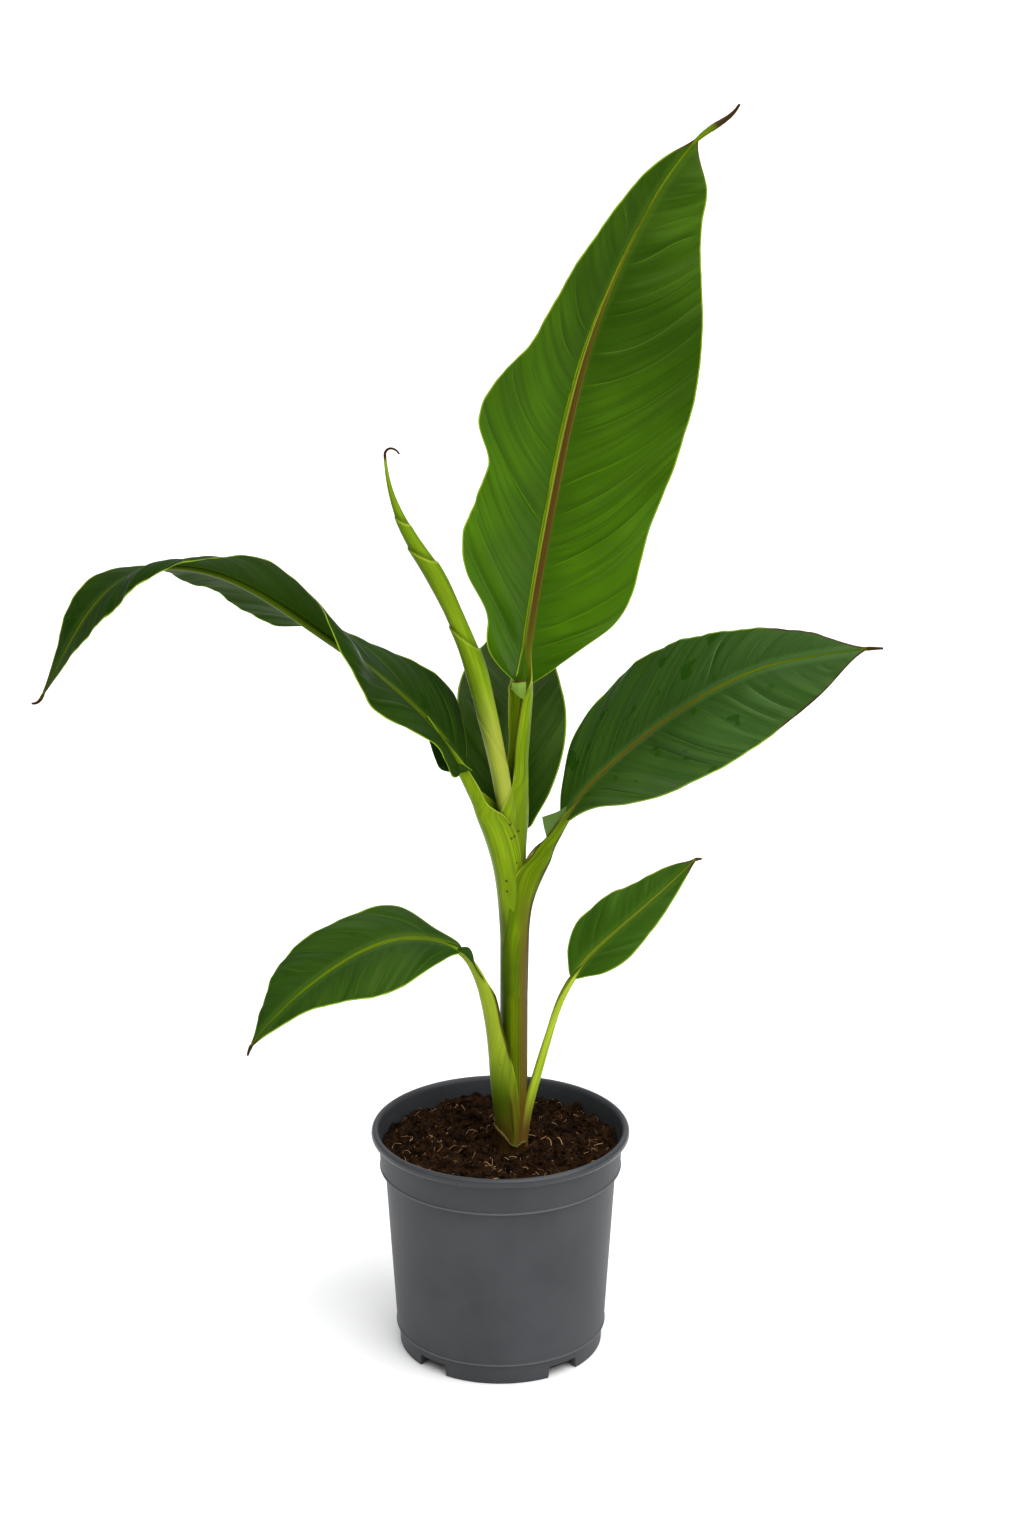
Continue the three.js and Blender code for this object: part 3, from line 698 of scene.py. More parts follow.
stem_skin = skin_material(
    "stem_skin", (0.112, 0.172, 0.0008), (0.052, 0.092, 0.0006), (0.125, 0.070, 0.009)
)
stem_rows = 220
stem_columns = 96
heights = np.linspace(112, 325.5, stem_rows)
angles = np.linspace(0, 2 * np.pi, stem_columns + 1)
cx, cy, radius = (v[:, None] for v in stem_at(heights))
ribs = 0.05 * np.sin(37 * angles) + 0.04 * np.sin(61 * angles + 1)
r = radius + ribs * smooth(radius, 4, 6)
shape = np.stack([cx + r * np.cos(angles), cy + r * np.sin(angles), heights[:, None] + 0 * r], -1)
cap = np.repeat(shape[-1:].mean(1, keepdims=True) + (0, 0, 0.4), stem_columns + 1, 1)
foot = np.repeat(shape[:1].mean(1, keepdims=True), stem_columns + 1, 1)
shape = np.concatenate([foot, shape, cap])
full = np.concatenate([heights[:1], heights, heights[-1:]])
places = np.moveaxis(shape, -1, 0)
maps = {
    "Grain": paired(angles * 8.5, full[:, None]),
    "Tint": paired(brownness(*places), seam_burn(*places)),
    "Edge": paired(0.0, deep_green_and_left_shade(*places)),
    "Inside": np.zeros((*shape.shape[:2], 2)),
}
column = mesh_from("pseudostem_column", [(shape, maps)], stem_skin)
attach(column, BODY)
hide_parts("pseudostem")


# Leaf rule
# Every leaf grows by one rule. Its midrib is walked from a foot on the stem with a rise and a
# bearing given at equal steps; the blade is swept along it, each half with its own
# half-width, fold and droop.
leaves = {
    "tall": {
        "foot": (10, 2, 323.4),
        "length": 394,
        "rise": (93, 86, 78, 76, 76, 71, 63, 56, 45),
        "bearing": (40, 52, 49, 42, 36, 35, 31, 32, 24),
        "blade": 0.19,
        "stalk": (6.2, 6.3, 6.6, 7.1, 7.2),
        "rib": 4.4,
        "roll": (62, 62, 60, 58, 56),
        "turn": (-56, -50, -40, -26, -12),
        "lip": 0.95,
        "twist": (-0.02, 0.025),
        "rib_half": (4.0, 3.5, 3.3, 3.3, 3.3, 3.0, 2.3, 1.3, 0.8, 0.6, 0.5),
        "half": (
            (7, 32, 38, 56, 60, 53, 48, 59, 53, 38, 31, 27, 23, 19, 15, 9, 1.2),
            (10, 29, 49, 56, 57, 58, 61, 64, 65, 65, 62, 57, 49, 39, 30, 22, 1.2),
        ),
        "fold": ((34,), (10,)),
        "droop": ((10,), (14,)),
        "tip": {
            "length": 31,
            "rise": (40, 30, 34, 60),
            "bearing": (20, 18, 12, 10),
            "radius": (1.3, 2.0, 0.7),
        },
    },
    "right": {
        "foot": (11, -1, 256.4),
        "length": 290,
        "rise": (76, 70, 59, 47, 42, 37, 30, 15, 10),
        "bearing": (-10, -22, -30, -32, -34, -34, -24, -14, -8),
        "blade": 0.25,
        "stalk": (7, 6.2, 5.2, 4.2, 3.4),
        "rib": 3,
        "roll": (50, 50, 50, 48, 45),
        "turn": (-35, -32, -25, -12, 8),
        "half": ((8, 36, 46, 49, 44, 34, 24, 14, 1), (4, 15, 31, 42, 47, 46, 39, 24, 1)),
        "fold": ((14,), (10,)),
        "droop": ((20,), (30,)),
        "tip": {"length": 9, "rise": (5, 0), "bearing": (-5, -5)},
    },
    "left": {
        "foot": (3, -4, 257.4),
        "length": 420,
        "rise": (90, 84, 73, 66, 61, 52, 46, 42, 37, 36, 28, 12, -7, -35, -54, -61, -60),
        "bearing": (210, 215, 205, 198, 193, 173, 168, 178, 180),
        "blade": 0.25,
        "stalk": (7.6, 7.6, 7, 6, 4.8, 4),
        "rib": 3.6,
        "roll": (-43, -33, -29, -20, 10, 31, 44, 46, 18, -8, -35, -33, -33),
        "turn": (20, 16, 12, 4, -8),
        "half": (
            (18, 22, 29, 34, 34, 34, 33, 30, 27, 23, 17, 9, 1),
            (15, 31, 33, 34, 34, 34, 33, 31, 27, 22, 16, 8, 1),
        ),
        "fold": (
            (12, 22, 18, 16, 46, 45, 16, 11, 26, 14, 14, 12, 10),
            (11, 22, 15, 4, 23, 12, 12, 19, 0, 13, 23, 19, 18),
        ),
        "droop": ((20, 16, 24, 41, 114, 80, 23, 61, 92, 60, 8, 4, 0), (16,)),
        "tip": {"length": 8, "rise": (-65, -40, 10), "bearing": (180, 180, 180)},
    },
    "back": {
        "foot": (8, 5, 290),
        "length": 158,
        "rise": (86, 72, 52, 38, 30),
        "bearing": (90, 92, 92, 87, 88),
        "blade": 0.14,
        "stalk": (5.5, 5, 3.8),
        "rib": 2.4,
        "roll": (0,),
        "turn": (0,),
        "half": ((11, 25, 30, 32, 30, 20, 2), (9, 21, 29, 31, 27, 19, 2)),
        "fold": ((18,), (18,)),
        "droop": ((20,), (20,)),
        "tip": {"length": 4, "rise": (30, 30), "bearing": (88, 88)},
    },
    "lower_left": {
        "foot": (3.9, -4, 131),
        "length": 266,
        "rise": (78, 84, 86, 81, 74, 60, 27, 6, -15, -27, -33, -42, -48),
        "bearing": (215, 205, 200, 203, 202, 200, 201, 203, 202),
        "blade": 0.46,
        "stalk": (5.6, 5.4, 5.6, 5.3, 4.7, 3.8, 2.8),
        "rib": 2.4,
        "roll": (-35, -32, -28, -25, -22),
        "turn": (10, 10, 6, 0, -10),
        "half": ((3, 16, 27, 33, 31, 22, 13, 7, 1), (5, 9, 24, 27, 28, 29, 23, 12, 1)),
        "fold": ((14,), (14,)),
        "droop": ((30,), (30,)),
        "tip": {"length": 6, "rise": (-60, -75), "bearing": (202, 202)},
    },
    "lower_right": {
        "foot": (11.6, -4.4, 126.4),
        "length": 203,
        "rise": (80, 73, 72, 69, 50, 35, 32, 33, 40),
        "bearing": (45, 32, 27, 28, 30, 28, 28, 30, 22),
        "blade": 0.5,
        "stalk": (4.3, 3.7, 3.4, 3.1, 2.7, 2.3),
        "rib": 1.8,
        "roll": (28,),
        "turn": (-50, -44, -38, -30, -5),
        "half": ((3, 14, 21, 22, 21, 17, 13, 9, 1), (3, 14, 19, 19, 16, 13, 9, 5, 1)),
        "fold": ((14,), (14,)),
        "droop": ((20,), (20,)),
        "tip": {"length": 4, "rise": (10, 0), "bearing": (10, 5)},
    },
}


def walk(rises, bearings, length, steps):
    """Points, ways ahead and level ways left of a line walked in equal steps."""
    s = np.linspace(0, 1, steps + 1)
    rise, bearing = np.radians(keyed(rises, s)), np.radians(keyed(bearings, s))
    level = np.stack([np.cos(bearing), np.sin(bearing), 0 * s], -1)
    ahead = level * np.cos(rise)[:, None] + np.array([0, 0, 1]) * np.sin(rise)[:, None]
    strides = 0.5 * (ahead[1:] + ahead[:-1]) * length / steps
    points = np.concatenate([np.zeros((1, 3)), np.cumsum(strides, 0)])
    left = np.stack([-np.sin(bearing), np.cos(bearing), 0 * s], -1)
    return points, ahead, left


def midline(leaf):
    """at(q): point, left and up of a leaf's midrib, and q where its thread ends."""
    points, ahead, left = walk(leaf["rise"], leaf["bearing"], leaf["length"], 200)
    points = points + np.array(leaf["foot"], float)
    tip = leaf["tip"]
    share = tip["length"] / leaf["length"]
    steps = max(4, round(200 * share))
    more, more_ahead, more_left = walk(tip["rise"], tip["bearing"], tip["length"], steps)
    qs = np.concatenate([np.linspace(0, 1, 201), 1 + share * np.linspace(0, 1, steps + 1)[1:]])
    joins = ((points, points[-1] + more[1:]), (ahead, more_ahead[1:]), (left, more_left[1:]))
    rows = np.concatenate([np.concatenate(join) for join in joins], 1)

    def at(q):
        found = np.stack([np.interp(q, qs, rows[:, k]) for k in range(9)], -1)
        point, way, side = found[..., :3], found[..., 3:6], found[..., 6:]
        way = way / np.linalg.norm(way, axis=-1, keepdims=True)
        side = side - way * (side * way).sum(-1, keepdims=True)
        side = side / np.linalg.norm(side, axis=-1, keepdims=True)
        return point, side, np.cross(way, side)

    return at, 1 + share


lines = {name: midline(leaf) for name, leaf in leaves.items()}


def rolled_frame(leaf, at, q, in_blade=True):
    """The midrib's place and the leaf's own side and up there, rolled about the midrib. The
    stalk's channel has a turn of its own, and takes the blade's roll where the blade begins."""
    point, left, up = at(q)
    u = (q - leaf["blade"]) / (1 - leaf["blade"])
    turn = np.radians(keyed(leaf["roll"], u))
    if not in_blade:
        share = smooth(u, *leaf.get("twist", (0.0, 0.1)))
        turn = turn * share + np.radians(keyed(leaf["turn"], q / leaf["blade"])) * (1 - share)
    turn = turn[..., None]
    side = left * np.cos(turn) + up * np.sin(turn)
    return point, side, up * np.cos(turn) - left * np.sin(turn)


# Leaf stalks, sheaths and midribs
# Each leaf's foot is one channel of firm tissue. Low down it is a thin sheath wrapped round
# the stem; it draws together into a stalk, round below and open above, and runs on as the
# blade's midrib, which thins towards the tip and ends in a dry thread.
stalk_skin = skin_material(
    "stalk_skin", (0.185, 0.30, 0.0025), (0.078, 0.15, 0.001), (0.125, 0.070, 0.012)
)
# The young lower-right stalk: a paler copy of the stalk skin, partly its own paler tissue and partly painted
# highlight and glow.
young_lit_skin = skin_material(
    "young_lit_stalk_skin", (0.42, 0.55, 0.035), (0.28, 0.42, 0.014), (0.14, 0.078, 0.014)
)

# Heights are mm. A sheath starts at low, and over free it draws together into its stalk; over
# grown the round that it wraps shifts from the stem to the stalk. left_edge and right_edge are
# its two edges, as bearings about the stem by height, on the leaf's own left and right; lift is
# how far it stands off the stem. lip_dark gives the heights over which the right and the left
# edge are dark red-brown.
sheaths = {
    "tall": {
        "low": 262,
        "free": (343, 372),
        "grown": (290, 330),
        "right_edge": ((262, -150), (305, -150), (320, -146), (328, -125), (334, -112), (340, -98),
                       (345, -88), (355, -79), (372, -70)),
        "left_edge": ((262, 200), (305, 196), (326, 190), (340, 172), (355, 150), (372, 135)),
        "lift": ((262, -0.7), (275, -0.1), (290, 0.15), (372, 0.25)),
        "lip_dark": ((348, 400), (0, 0)),
    },
    "left": {
        "low": 214,
        "free": (327, 346),
        "grown": (250, 330),
        "left_edge": ((214, 316), (290, 312), (306.5, 302), (317.5, 286), (322.5, 264), (326, 248),
                      (330, 238), (334, 234), (339, 230), (346, 222)),
        "right_edge": ((214, 60), (280, 70), (300, 100), (316, 150), (328, 185), (346, 198)),
        "lift": ((214, -0.9), (240, -0.2), (262, 0.35), (300, 0.6), (338, 0.7)),
        "lip_dark": ((0, 0), (0, 0)),
    },
    "right": {
        "low": 196,
        "free": (298, 318),
        "grown": (245, 302),
        "right_edge": ((196, -170), (240, -140), (256, -122), (265, -110), (277, -105), (290.5, -83),
                       (294.5, -70), (297, -59), (300, -45), (314, -40)),
        "left_edge": ((196, 150), (250, 135), (277, 95), (290, 60), (298, 25), (314, 5)),
        "lift": ((196, -0.8), (225, 0.3), (256, 0.9), (296, 1.1), (314, 1.1)),
        "lip_dark": ((293, 330), (290, 336)),
    },
    "lower_left": {
        "low": 114,
        "free": (218, 232),
        "grown": (110, 136),
        "left_edge": ((114, 304), (133, 303), (145, 297), (154, 291), (162, 284), (168, 277),
                      (175, 268), (182, 260), (188, 253.5), (194, 247.5), (200, 241.5),
                      (206, 238.5), (213, 235.5), (220, 231), (226, 228), (232, 221)),
        "right_edge": ((114, 110), (137, 112), (155, 120), (170, 140), (183, 165), (197, 190),
                       (210, 195)),
        "lift": ((114, 0.7), (204, 0.9)),
        "lip_dark": ((0, 0), (176, 228)),
    },
}
lip_turn = math.radians(118)
round_count = 44


def by_height(pairs, z, soften=5):
    """Values by height from (height, value) pairs, with their corners eased."""
    heights, values = np.array(pairs, float).T
    spread = np.linspace(-soften, soften, 9)
    return np.mean([np.interp(z + d, heights, values) for d in spread], 0)


def hugging(z, phi, base, rounds):
    """How far from the stem's axis a skin stretched round the stem and the rounds stands at each
    bearing. rounds: (x, y, radius) by height of each stalk or leaf that it also wraps."""
    sx, sy, _ = stem_at(z)
    far = base + 0 * phi
    for rx, ry, rr in rounds:
        ex, ey = (rx - sx)[:, None], (ry - sy)[:, None]
        along = ex * np.cos(phi) + ey * np.sin(phi)
        off = ex * np.sin(phi) - ey * np.cos(phi)
        for t in np.linspace(0, 1, 13):
            r = base + (rr[:, None] - base) * t
            inside = np.maximum(r**2 - (off * t) ** 2, 0)
            reached = np.where(r > np.abs(off * t), along * t + np.sqrt(inside), 0)
            far = np.maximum(far, np.where(rr[:, None] > 0, reached, 0))
    return far


def track_of(name, z):
    """Where a leaf's stalk passes a height: x, y, its radius and the share q along it."""
    at, _ = lines[name]
    leaf = leaves[name]
    q = np.linspace(0, leaf["blade"], 80)
    path = at(q)[0]
    wide = keyed(leaf["stalk"], q / leaf["blade"])
    return [np.interp(z, path[:, 2], values) for values in (path[:, 0], path[:, 1], wide, q)]


# how far the sheaths that wrap the rolled leaf stand off it
layers_over_roll = {"tall": 0.5, "left": 1.1}


def wrap_ring(name, spec, z):
    """The sheath's outer skin at each height, and the stem's axis there."""
    right, left = (by_height(spec[edge], z)[:, None] for edge in ("right_edge", "left_edge"))
    phi = np.radians(right + (left - right) * np.linspace(0, 1, round_count))
    sx, sy, sr = stem_at(z)
    base = (sr + by_height(spec["lift"], z))[:, None]
    x, y, wide, _ = track_of(name, z)
    grown = smooth(z, *spec["grown"])
    wrapped_r = (wide + 0.25) * grown + base[:, 0] * (1 - grown)
    rounds = [(sx + (x - sx) * grown, sy + (y - sy) * grown, wrapped_r)]
    if name in layers_over_roll:
        path = midline(rolled)[0](np.linspace(0, 0.4, 60))[0]
        rx, ry = (np.interp(z, path[:, 2], path[:, k]) for k in (0, 1))
        roll_r = (rolled["radius"][0] + layers_over_roll[name]) * smooth(z, 296, 324)
        rounds.append((rx, ry, np.where(z > 296, roll_r, 0)))
    r = hugging(z, phi, base, rounds)
    cx, cy = sx[:, None], sy[:, None]
    ring = np.stack([cx + r * np.cos(phi), cy + r * np.sin(phi), z[:, None] + 0 * r], -1)
    return ring, np.stack([sx, sy, z], -1)[:, None]


rolled = {
    "foot": (5, -3, 320.4),
    "length": 223,
    "rise": (78, 79, 77, 76, 69, 65, 58, 70, 85),
    "bearing": (220, 210, 204, 194, 193, 190, 189, 189, 200),
    "radius": (4.8, 4.9, 5.0, 5.3, 5.6, 5.8, 5.0, 4.7, 4.9, 4.0, 2.9, 1.5, 0.8),
    "tip": {"length": 13, "rise": (90, 50, -20, -60), "bearing": (180, 0, 0, 0)},
}

# how brown the channel is from the foot to the tip, on the leaf's left and right
channel_brown = {
    "tall": ((0.15, 0.1, 0.15, 0.15, 0.15, 0.2, 0.1), (0.1, 0.2, 1.0, 1.0, 0.9, 0.5, 0.1)),
    "right": ((0.0, 0.4, 0.5, 0.2, 0.0), (0.0, 0.5, 0.7, 0.3, 0.0)),
    "left": ((0.1, 0.1, 0.3, 0.3), (0.1, 0.1, 0.3, 0.3)),
    "back": ((0.2,), (0.2,)),
    "lower_left": ((0.1, 0.1), (0.1, 0.1)),
    "lower_right": ((0.1, 0.2, 0.3), (0.1, 0.2, 0.3)),
}
# how pale the bare stalk is, how deep green it is, and how deep green the midrib is
stalk_tones = {
    "tall": (0.12, 0.0, 0.2),
    "right": (0.0, 0.36, 0.6),
    "left": (0.1, 0.0, 0.8),
    "back": (0.0, 0.4, 0.7),
    "lower_left": (0.55, 0.0, 0.55),
    "lower_right": (0.15, 0.0, 0.65),
}


def channel_rings(name, q):
    """The stalk's and midrib's outer skin and its groove at each q of a column, from the right
    lip to the left one, and the midrib's points."""
    leaf = leaves[name]
    at, reach = lines[name]
    blade, rib = leaf["blade"], leaf["rib"]
    point, side, up = rolled_frame(leaf, at, q, in_blade=False)
    u = np.clip((q - blade) / (1 - blade), 0, 1)
    p = np.clip(q / blade, 0, 1)
    on_blade = smooth(q, blade - 0.02, blade + 0.06)
    on_thread = smooth(q, 0.985, 1.005)
    tip_radius = leaf["tip"].get("radius", (1.2, 1.0, 0.6))
    thread = np.interp(q, (1, 0.6 + 0.4 * reach, reach), tip_radius)

    def joined(stalk, blade_part, thread_part):
        return (stalk * (1 - on_blade) + blade_part * on_blade) * (1 - on_thread) + thread_part * on_thread

    stalk_r = keyed(leaf["stalk"], p)
    rib_half = keyed(leaf["rib_half"], u) if "rib_half" in leaf else 0.86 * rib * (1 - u) ** 0.75 + 0.2
    wide = joined(stalk_r, rib_half, thread)
    deep = joined(stalk_r, 0.95 * rib * (1 - u) ** 0.9 + 0.3, thread)
    lip_in = joined(math.sin(lip_turn), leaf.get("lip", 0.56), 0.88)
    lip_side = wide * lip_in
    folds = (np.tan(np.radians(keyed(fold, u))) for fold in leaf["fold"])
    left_lip, right_lip = (
        joined(-stalk_r * math.cos(lip_turn), lip_side * fold + 0.42, 0.47 * thread) for fold in folds
    )
    open_share = smooth(p, 0.02, 0.2) * (1 - on_thread)
    floor = 0.9 * wide * (1 - open_share) + joined(-0.45 * stalk_r, 0.25, 0) * open_share
    a = np.linspace(-lip_turn, lip_turn, round_count)
    past = np.clip(np.abs(a) - math.pi / 2, 0, None) / (lip_turn - math.pi / 2)
    across = wide * np.where(past > 0, np.sign(a) * (1 - past * (1 - lip_in)), np.sin(a))
    height = -deep * np.clip(np.cos(a), 0, None) + np.where(a > 0, left_lip, right_lip) * past
    outer = point + side * across[..., None] + up * height[..., None]
    b = np.linspace(-1, 1, round_count)
    inner_across = 0.84 * lip_side * np.sin(b * math.pi / 2)
    lip_height = left_lip * (0.5 + 0.5 * b) + right_lip * (0.5 - 0.5 * b)
    bowl = np.abs(b) ** 3 * (1 - on_blade) + np.abs(np.sin(b * math.pi / 2)) * on_blade
    inner_height = floor + (lip_height - floor) * bowl
    inner = point + side * inner_across[..., None] + up * inner_height[..., None]
    return outer, inner, point


def shell_sheets(outer, inner, maps, inner_maps=None):
    """The sheets of a closed shell: its outer and inner grids and four narrow ones that close
    it between their edges."""
    inside = {key: value[:, ::-1] for key, value in (inner_maps or maps).items()}
    sheets = [(outer, maps), (inner[:, ::-1], inside)]
    for pick in (lambda g: g[:, 0], lambda g: g[:, -1], lambda g: g[0], lambda g: g[-1]):
        rim = {key: np.stack([pick(value), pick(value)], 1) for key, value in maps.items()}
        sheets.append((np.stack([pick(outer), pick(inner)], 1), rim))
    return sheets


def run_across(grid):
    """Distance in mm from each row's first point, measured along the row."""
    seam = np.linalg.norm(np.diff(grid, axis=1), axis=-1)
    return np.concatenate([0 * seam[:, :1], np.cumsum(seam, 1)], 1)


def stalk_shape(name):
    """Outer and inner grid of a leaf's sheath, stalk, midrib and thread, and columns of the
    height and the share q of each row."""
    sheath = sheaths.get(name)
    start = 0.0
    parts = []
    if sheath:
        low = sheath["low"]
        z = np.arange(low, sheath["free"][1], 1.1)
        q = track_of(name, z)[3]
        start = q[-1]
        ring, axis = wrap_ring(name, sheath, z)
        outer, inner, _ = channel_rings(name, np.maximum(q, 1e-4)[:, None])
        free = smooth(z, *sheath["free"])[:, None, None]
        run = run_across(ring)
        edge_mm = np.minimum(run, run[:, -1:] - run)
        wall = 1.25 * (0.3 + 0.7 * smooth(edge_mm, 0, 5))
        inward = axis - ring
        inward /= np.linalg.norm(inward, axis=-1, keepdims=True)
        flare = 0.4 * smooth(edge_mm, 3, 0) * smooth(z, low + 20, low + 40)[:, None]
        ring = ring - inward * flare[..., None]
        thin = ring + inward * wall[..., None]
        parts.append((ring * (1 - free) + outer * free, thin * (1 - free) + inner * free, z, q))
    q = np.unique(np.concatenate([np.linspace(start + 0.004, 1, 230), np.linspace(1, lines[name][1], 12)]))
    outer, inner, point = channel_rings(name, q[:, None])
    parts.append((outer, inner, point[:, 0, 2], q))
    outer, inner, z, q = (np.concatenate([part[k] for part in parts]) for k in range(4))
    return outer, inner, z[:, None], q[:, None]


def stalk_piece(name):
    """A leaf's sheath, stalk and midrib as one closed skin, with the maps that its material
    reads: what is particular to one leaf stands under its name."""
    leaf = leaves[name]
    outer, inner, z, q = stalk_shape(name)
    run = run_across(outer)
    from_left = run[:, -1:] - run
    edge_mm = np.minimum(run, from_left)
    u = np.clip((q - leaf["blade"]) / (1 - leaf["blade"]), -1, 2)
    burnt_from = 1.03 if name == "tall" else 0.99
    on_thread = smooth(u, burnt_from, burnt_from + 0.016)
    on_rib = smooth(u, -0.03, 0.08)
    off_rib = 1 - on_rib
    on_stem = smooth(q, 0.2, 0.03)
    free_stalk = smooth(q, 0.0, 0.06)
    places = np.moveaxis(outer, -1, 0)
    across = np.linspace(0, 1, round_count)

    pale = smooth(edge_mm, 0.8, 0.15) * (1 - smooth(u, -0.05, 0.1)) * (1 - on_thread)
    pale_from = {"left": (278, 292), "right": (278, 292), "lower_left": (150, 185)}
    if name in pale_from:
        pale = pale * smooth(z, *pale_from[name])
    dark = 0 * edge_mm
    width = 1.7 if name == "lower_left" else 0.9
    for (first, last), gap in zip(sheaths.get(name, {}).get("lip_dark", ()), (run, from_left)):
        if last > first:
            span = smooth(z, first, first + 8) * smooth(z, last, last - 8)
            dark = np.maximum(dark, span * smooth(gap, width, 0.4 * width))

    paleness, petiole_deep, rib_deep = stalk_tones[name]
    brown = brownness(*places) * on_stem
    seam = 0 * brown
    deep = deep_green_and_left_shade(*places) * (1 - free_stalk) + petiole_deep * free_stalk
    deep = deep * off_rib + rib_deep * on_rib
    paleness = paleness * smooth(z, 150, 200) * off_rib
    if name in ("tall", "left", "right"):
        deep = np.clip(deep + 0.45 * smooth(z, 295, 215) * off_rib, 0, 0.85)
    if name == "right":
        on_keel = smooth(np.abs(across - 0.42), 0.07, 0.035)
        above = smooth(z, 280, 300)
        keel_burn = 0.85 * on_keel * above * smooth(q, 0.26, 0.18)
        seam = np.maximum(seam_burn(*places) * on_stem * (1 - above), keel_burn)
    if name == "lower_left":
        away_side = smooth(from_left, 5.2, 6.4)
        base = smooth(z, 150, 122)
        deep = np.maximum(deep, smooth(z, 190, 150) * (0.15 + 0.7 * away_side))
        brown = np.maximum(brown, 0.6 * smooth(z, 176, 150) * (1 - away_side))
        brown = np.maximum(brown, 0.6 * base)
        crease = smooth(np.abs(from_left - 5.2), 0.7, 0.3) * smooth(z, 162, 152)
        seam = np.maximum(0.85 * crease * smooth(z, 124, 134), 0.5 * base * away_side)
    if name == "lower_right":
        middle_x = lines[name][0](q)[0][..., 0]
        half_wide = np.abs(outer[..., 0] - middle_x).max(1)[:, None]
        outer_margin, inner_margin = (
            smooth((grid[..., 0] - middle_x) / half_wide, -0.25, -0.6) * off_rib
            for grid in (outer, inner)
        )
        brown = np.maximum(brown, 0.9 * outer_margin)
        seam = 0.55 * outer_margin

    left_brown, right_brown = (keyed(values, q) for values in channel_brown[name])
    split = smooth(across, 0.52, 0.6)
    groove = left_brown * split + right_brown * (1 - split)
    right_lip = smooth(across, 0.45, 0.1) * on_rib * right_brown
    length_mm = np.where(q > 0, leaf["foot"][2] + q * leaf["length"], z)
    skin_pale = np.maximum(pale, paleness) * (1 - dark)
    skin_side = {
        "Grain": paired(run, length_mm),
        "Tint": paired(
            np.maximum(brown, right_lip) * (1 - skin_pale),
            np.clip(dark * 0.9 + on_thread * 0.95 + seam, 0, 1),
        ),
        "Edge": paired(skin_pale, deep),
        "Inside": paired(0 * run, 0),
    }

    lip_pale = 0.6 * pale * (1 - dark)
    rib_burn_and_shadow = 0.2 * groove * on_rib
    cream = 0 * run
    if name == "tall":
        middle_line = smooth(np.abs(across - 0.6), 0.08, 0.03) * 0.5 * on_rib
        lip_pale = np.maximum(lip_pale, middle_line * smooth(u, 0.85, 0.6))
        # Painted shadow along the right edge of the tall midrib's groove, laid on in the dark red-brown burn
        # colour.
        right_edge_shadow = 0.35 * smooth(across, 0.25, 0.08) * on_rib * right_brown
        rib_burn_and_shadow = np.maximum(right_edge_shadow, 0.4 * groove * on_rib)
    if name == "right":
        near_stem = smooth(z, 288, 292) * smooth(z, 305, 299)
        cream = near_stem * smooth(edge_mm, 7.5, 5.0)
    inner_burn_and_shadow = np.maximum(on_thread * 0.95, rib_burn_and_shadow)
    if name == "lower_right":
        inner_burn_and_shadow = np.maximum(inner_burn_and_shadow, 0.6 * inner_margin)
    groove_side = {
        "Grain": paired(run * 0.7 + 80, length_mm),
        "Tint": paired(groove * (1 - lip_pale) * (1 - on_thread), inner_burn_and_shadow),
        "Edge": paired(lip_pale, deep * (1 - 0.5 * groove)),
        "Inside": paired(cream, 0),
    }
    skin = young_lit_skin if name == "lower_right" else stalk_skin
    sheets = shell_sheets(outer, inner, skin_side, groove_side)
    piece = mesh_from("midrib_" + name, sheets, skin, 80.0)
    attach(piece, BODY)
    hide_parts("stalk_" + name)


for name in leaves:
    stalk_piece(name)


# Blades
# The leaf blades: a third of a millimetre of waxy tissue, pleated in low steps along the side
# veins, which leave the midrib and bend towards the tip, with a thin paler margin.
pale_edge = (0.22, 0.33, 0.014)
dry_brown = (0.04, 0.010, 0.005)
speck_brown = (0.02, 0.015, 0.004)


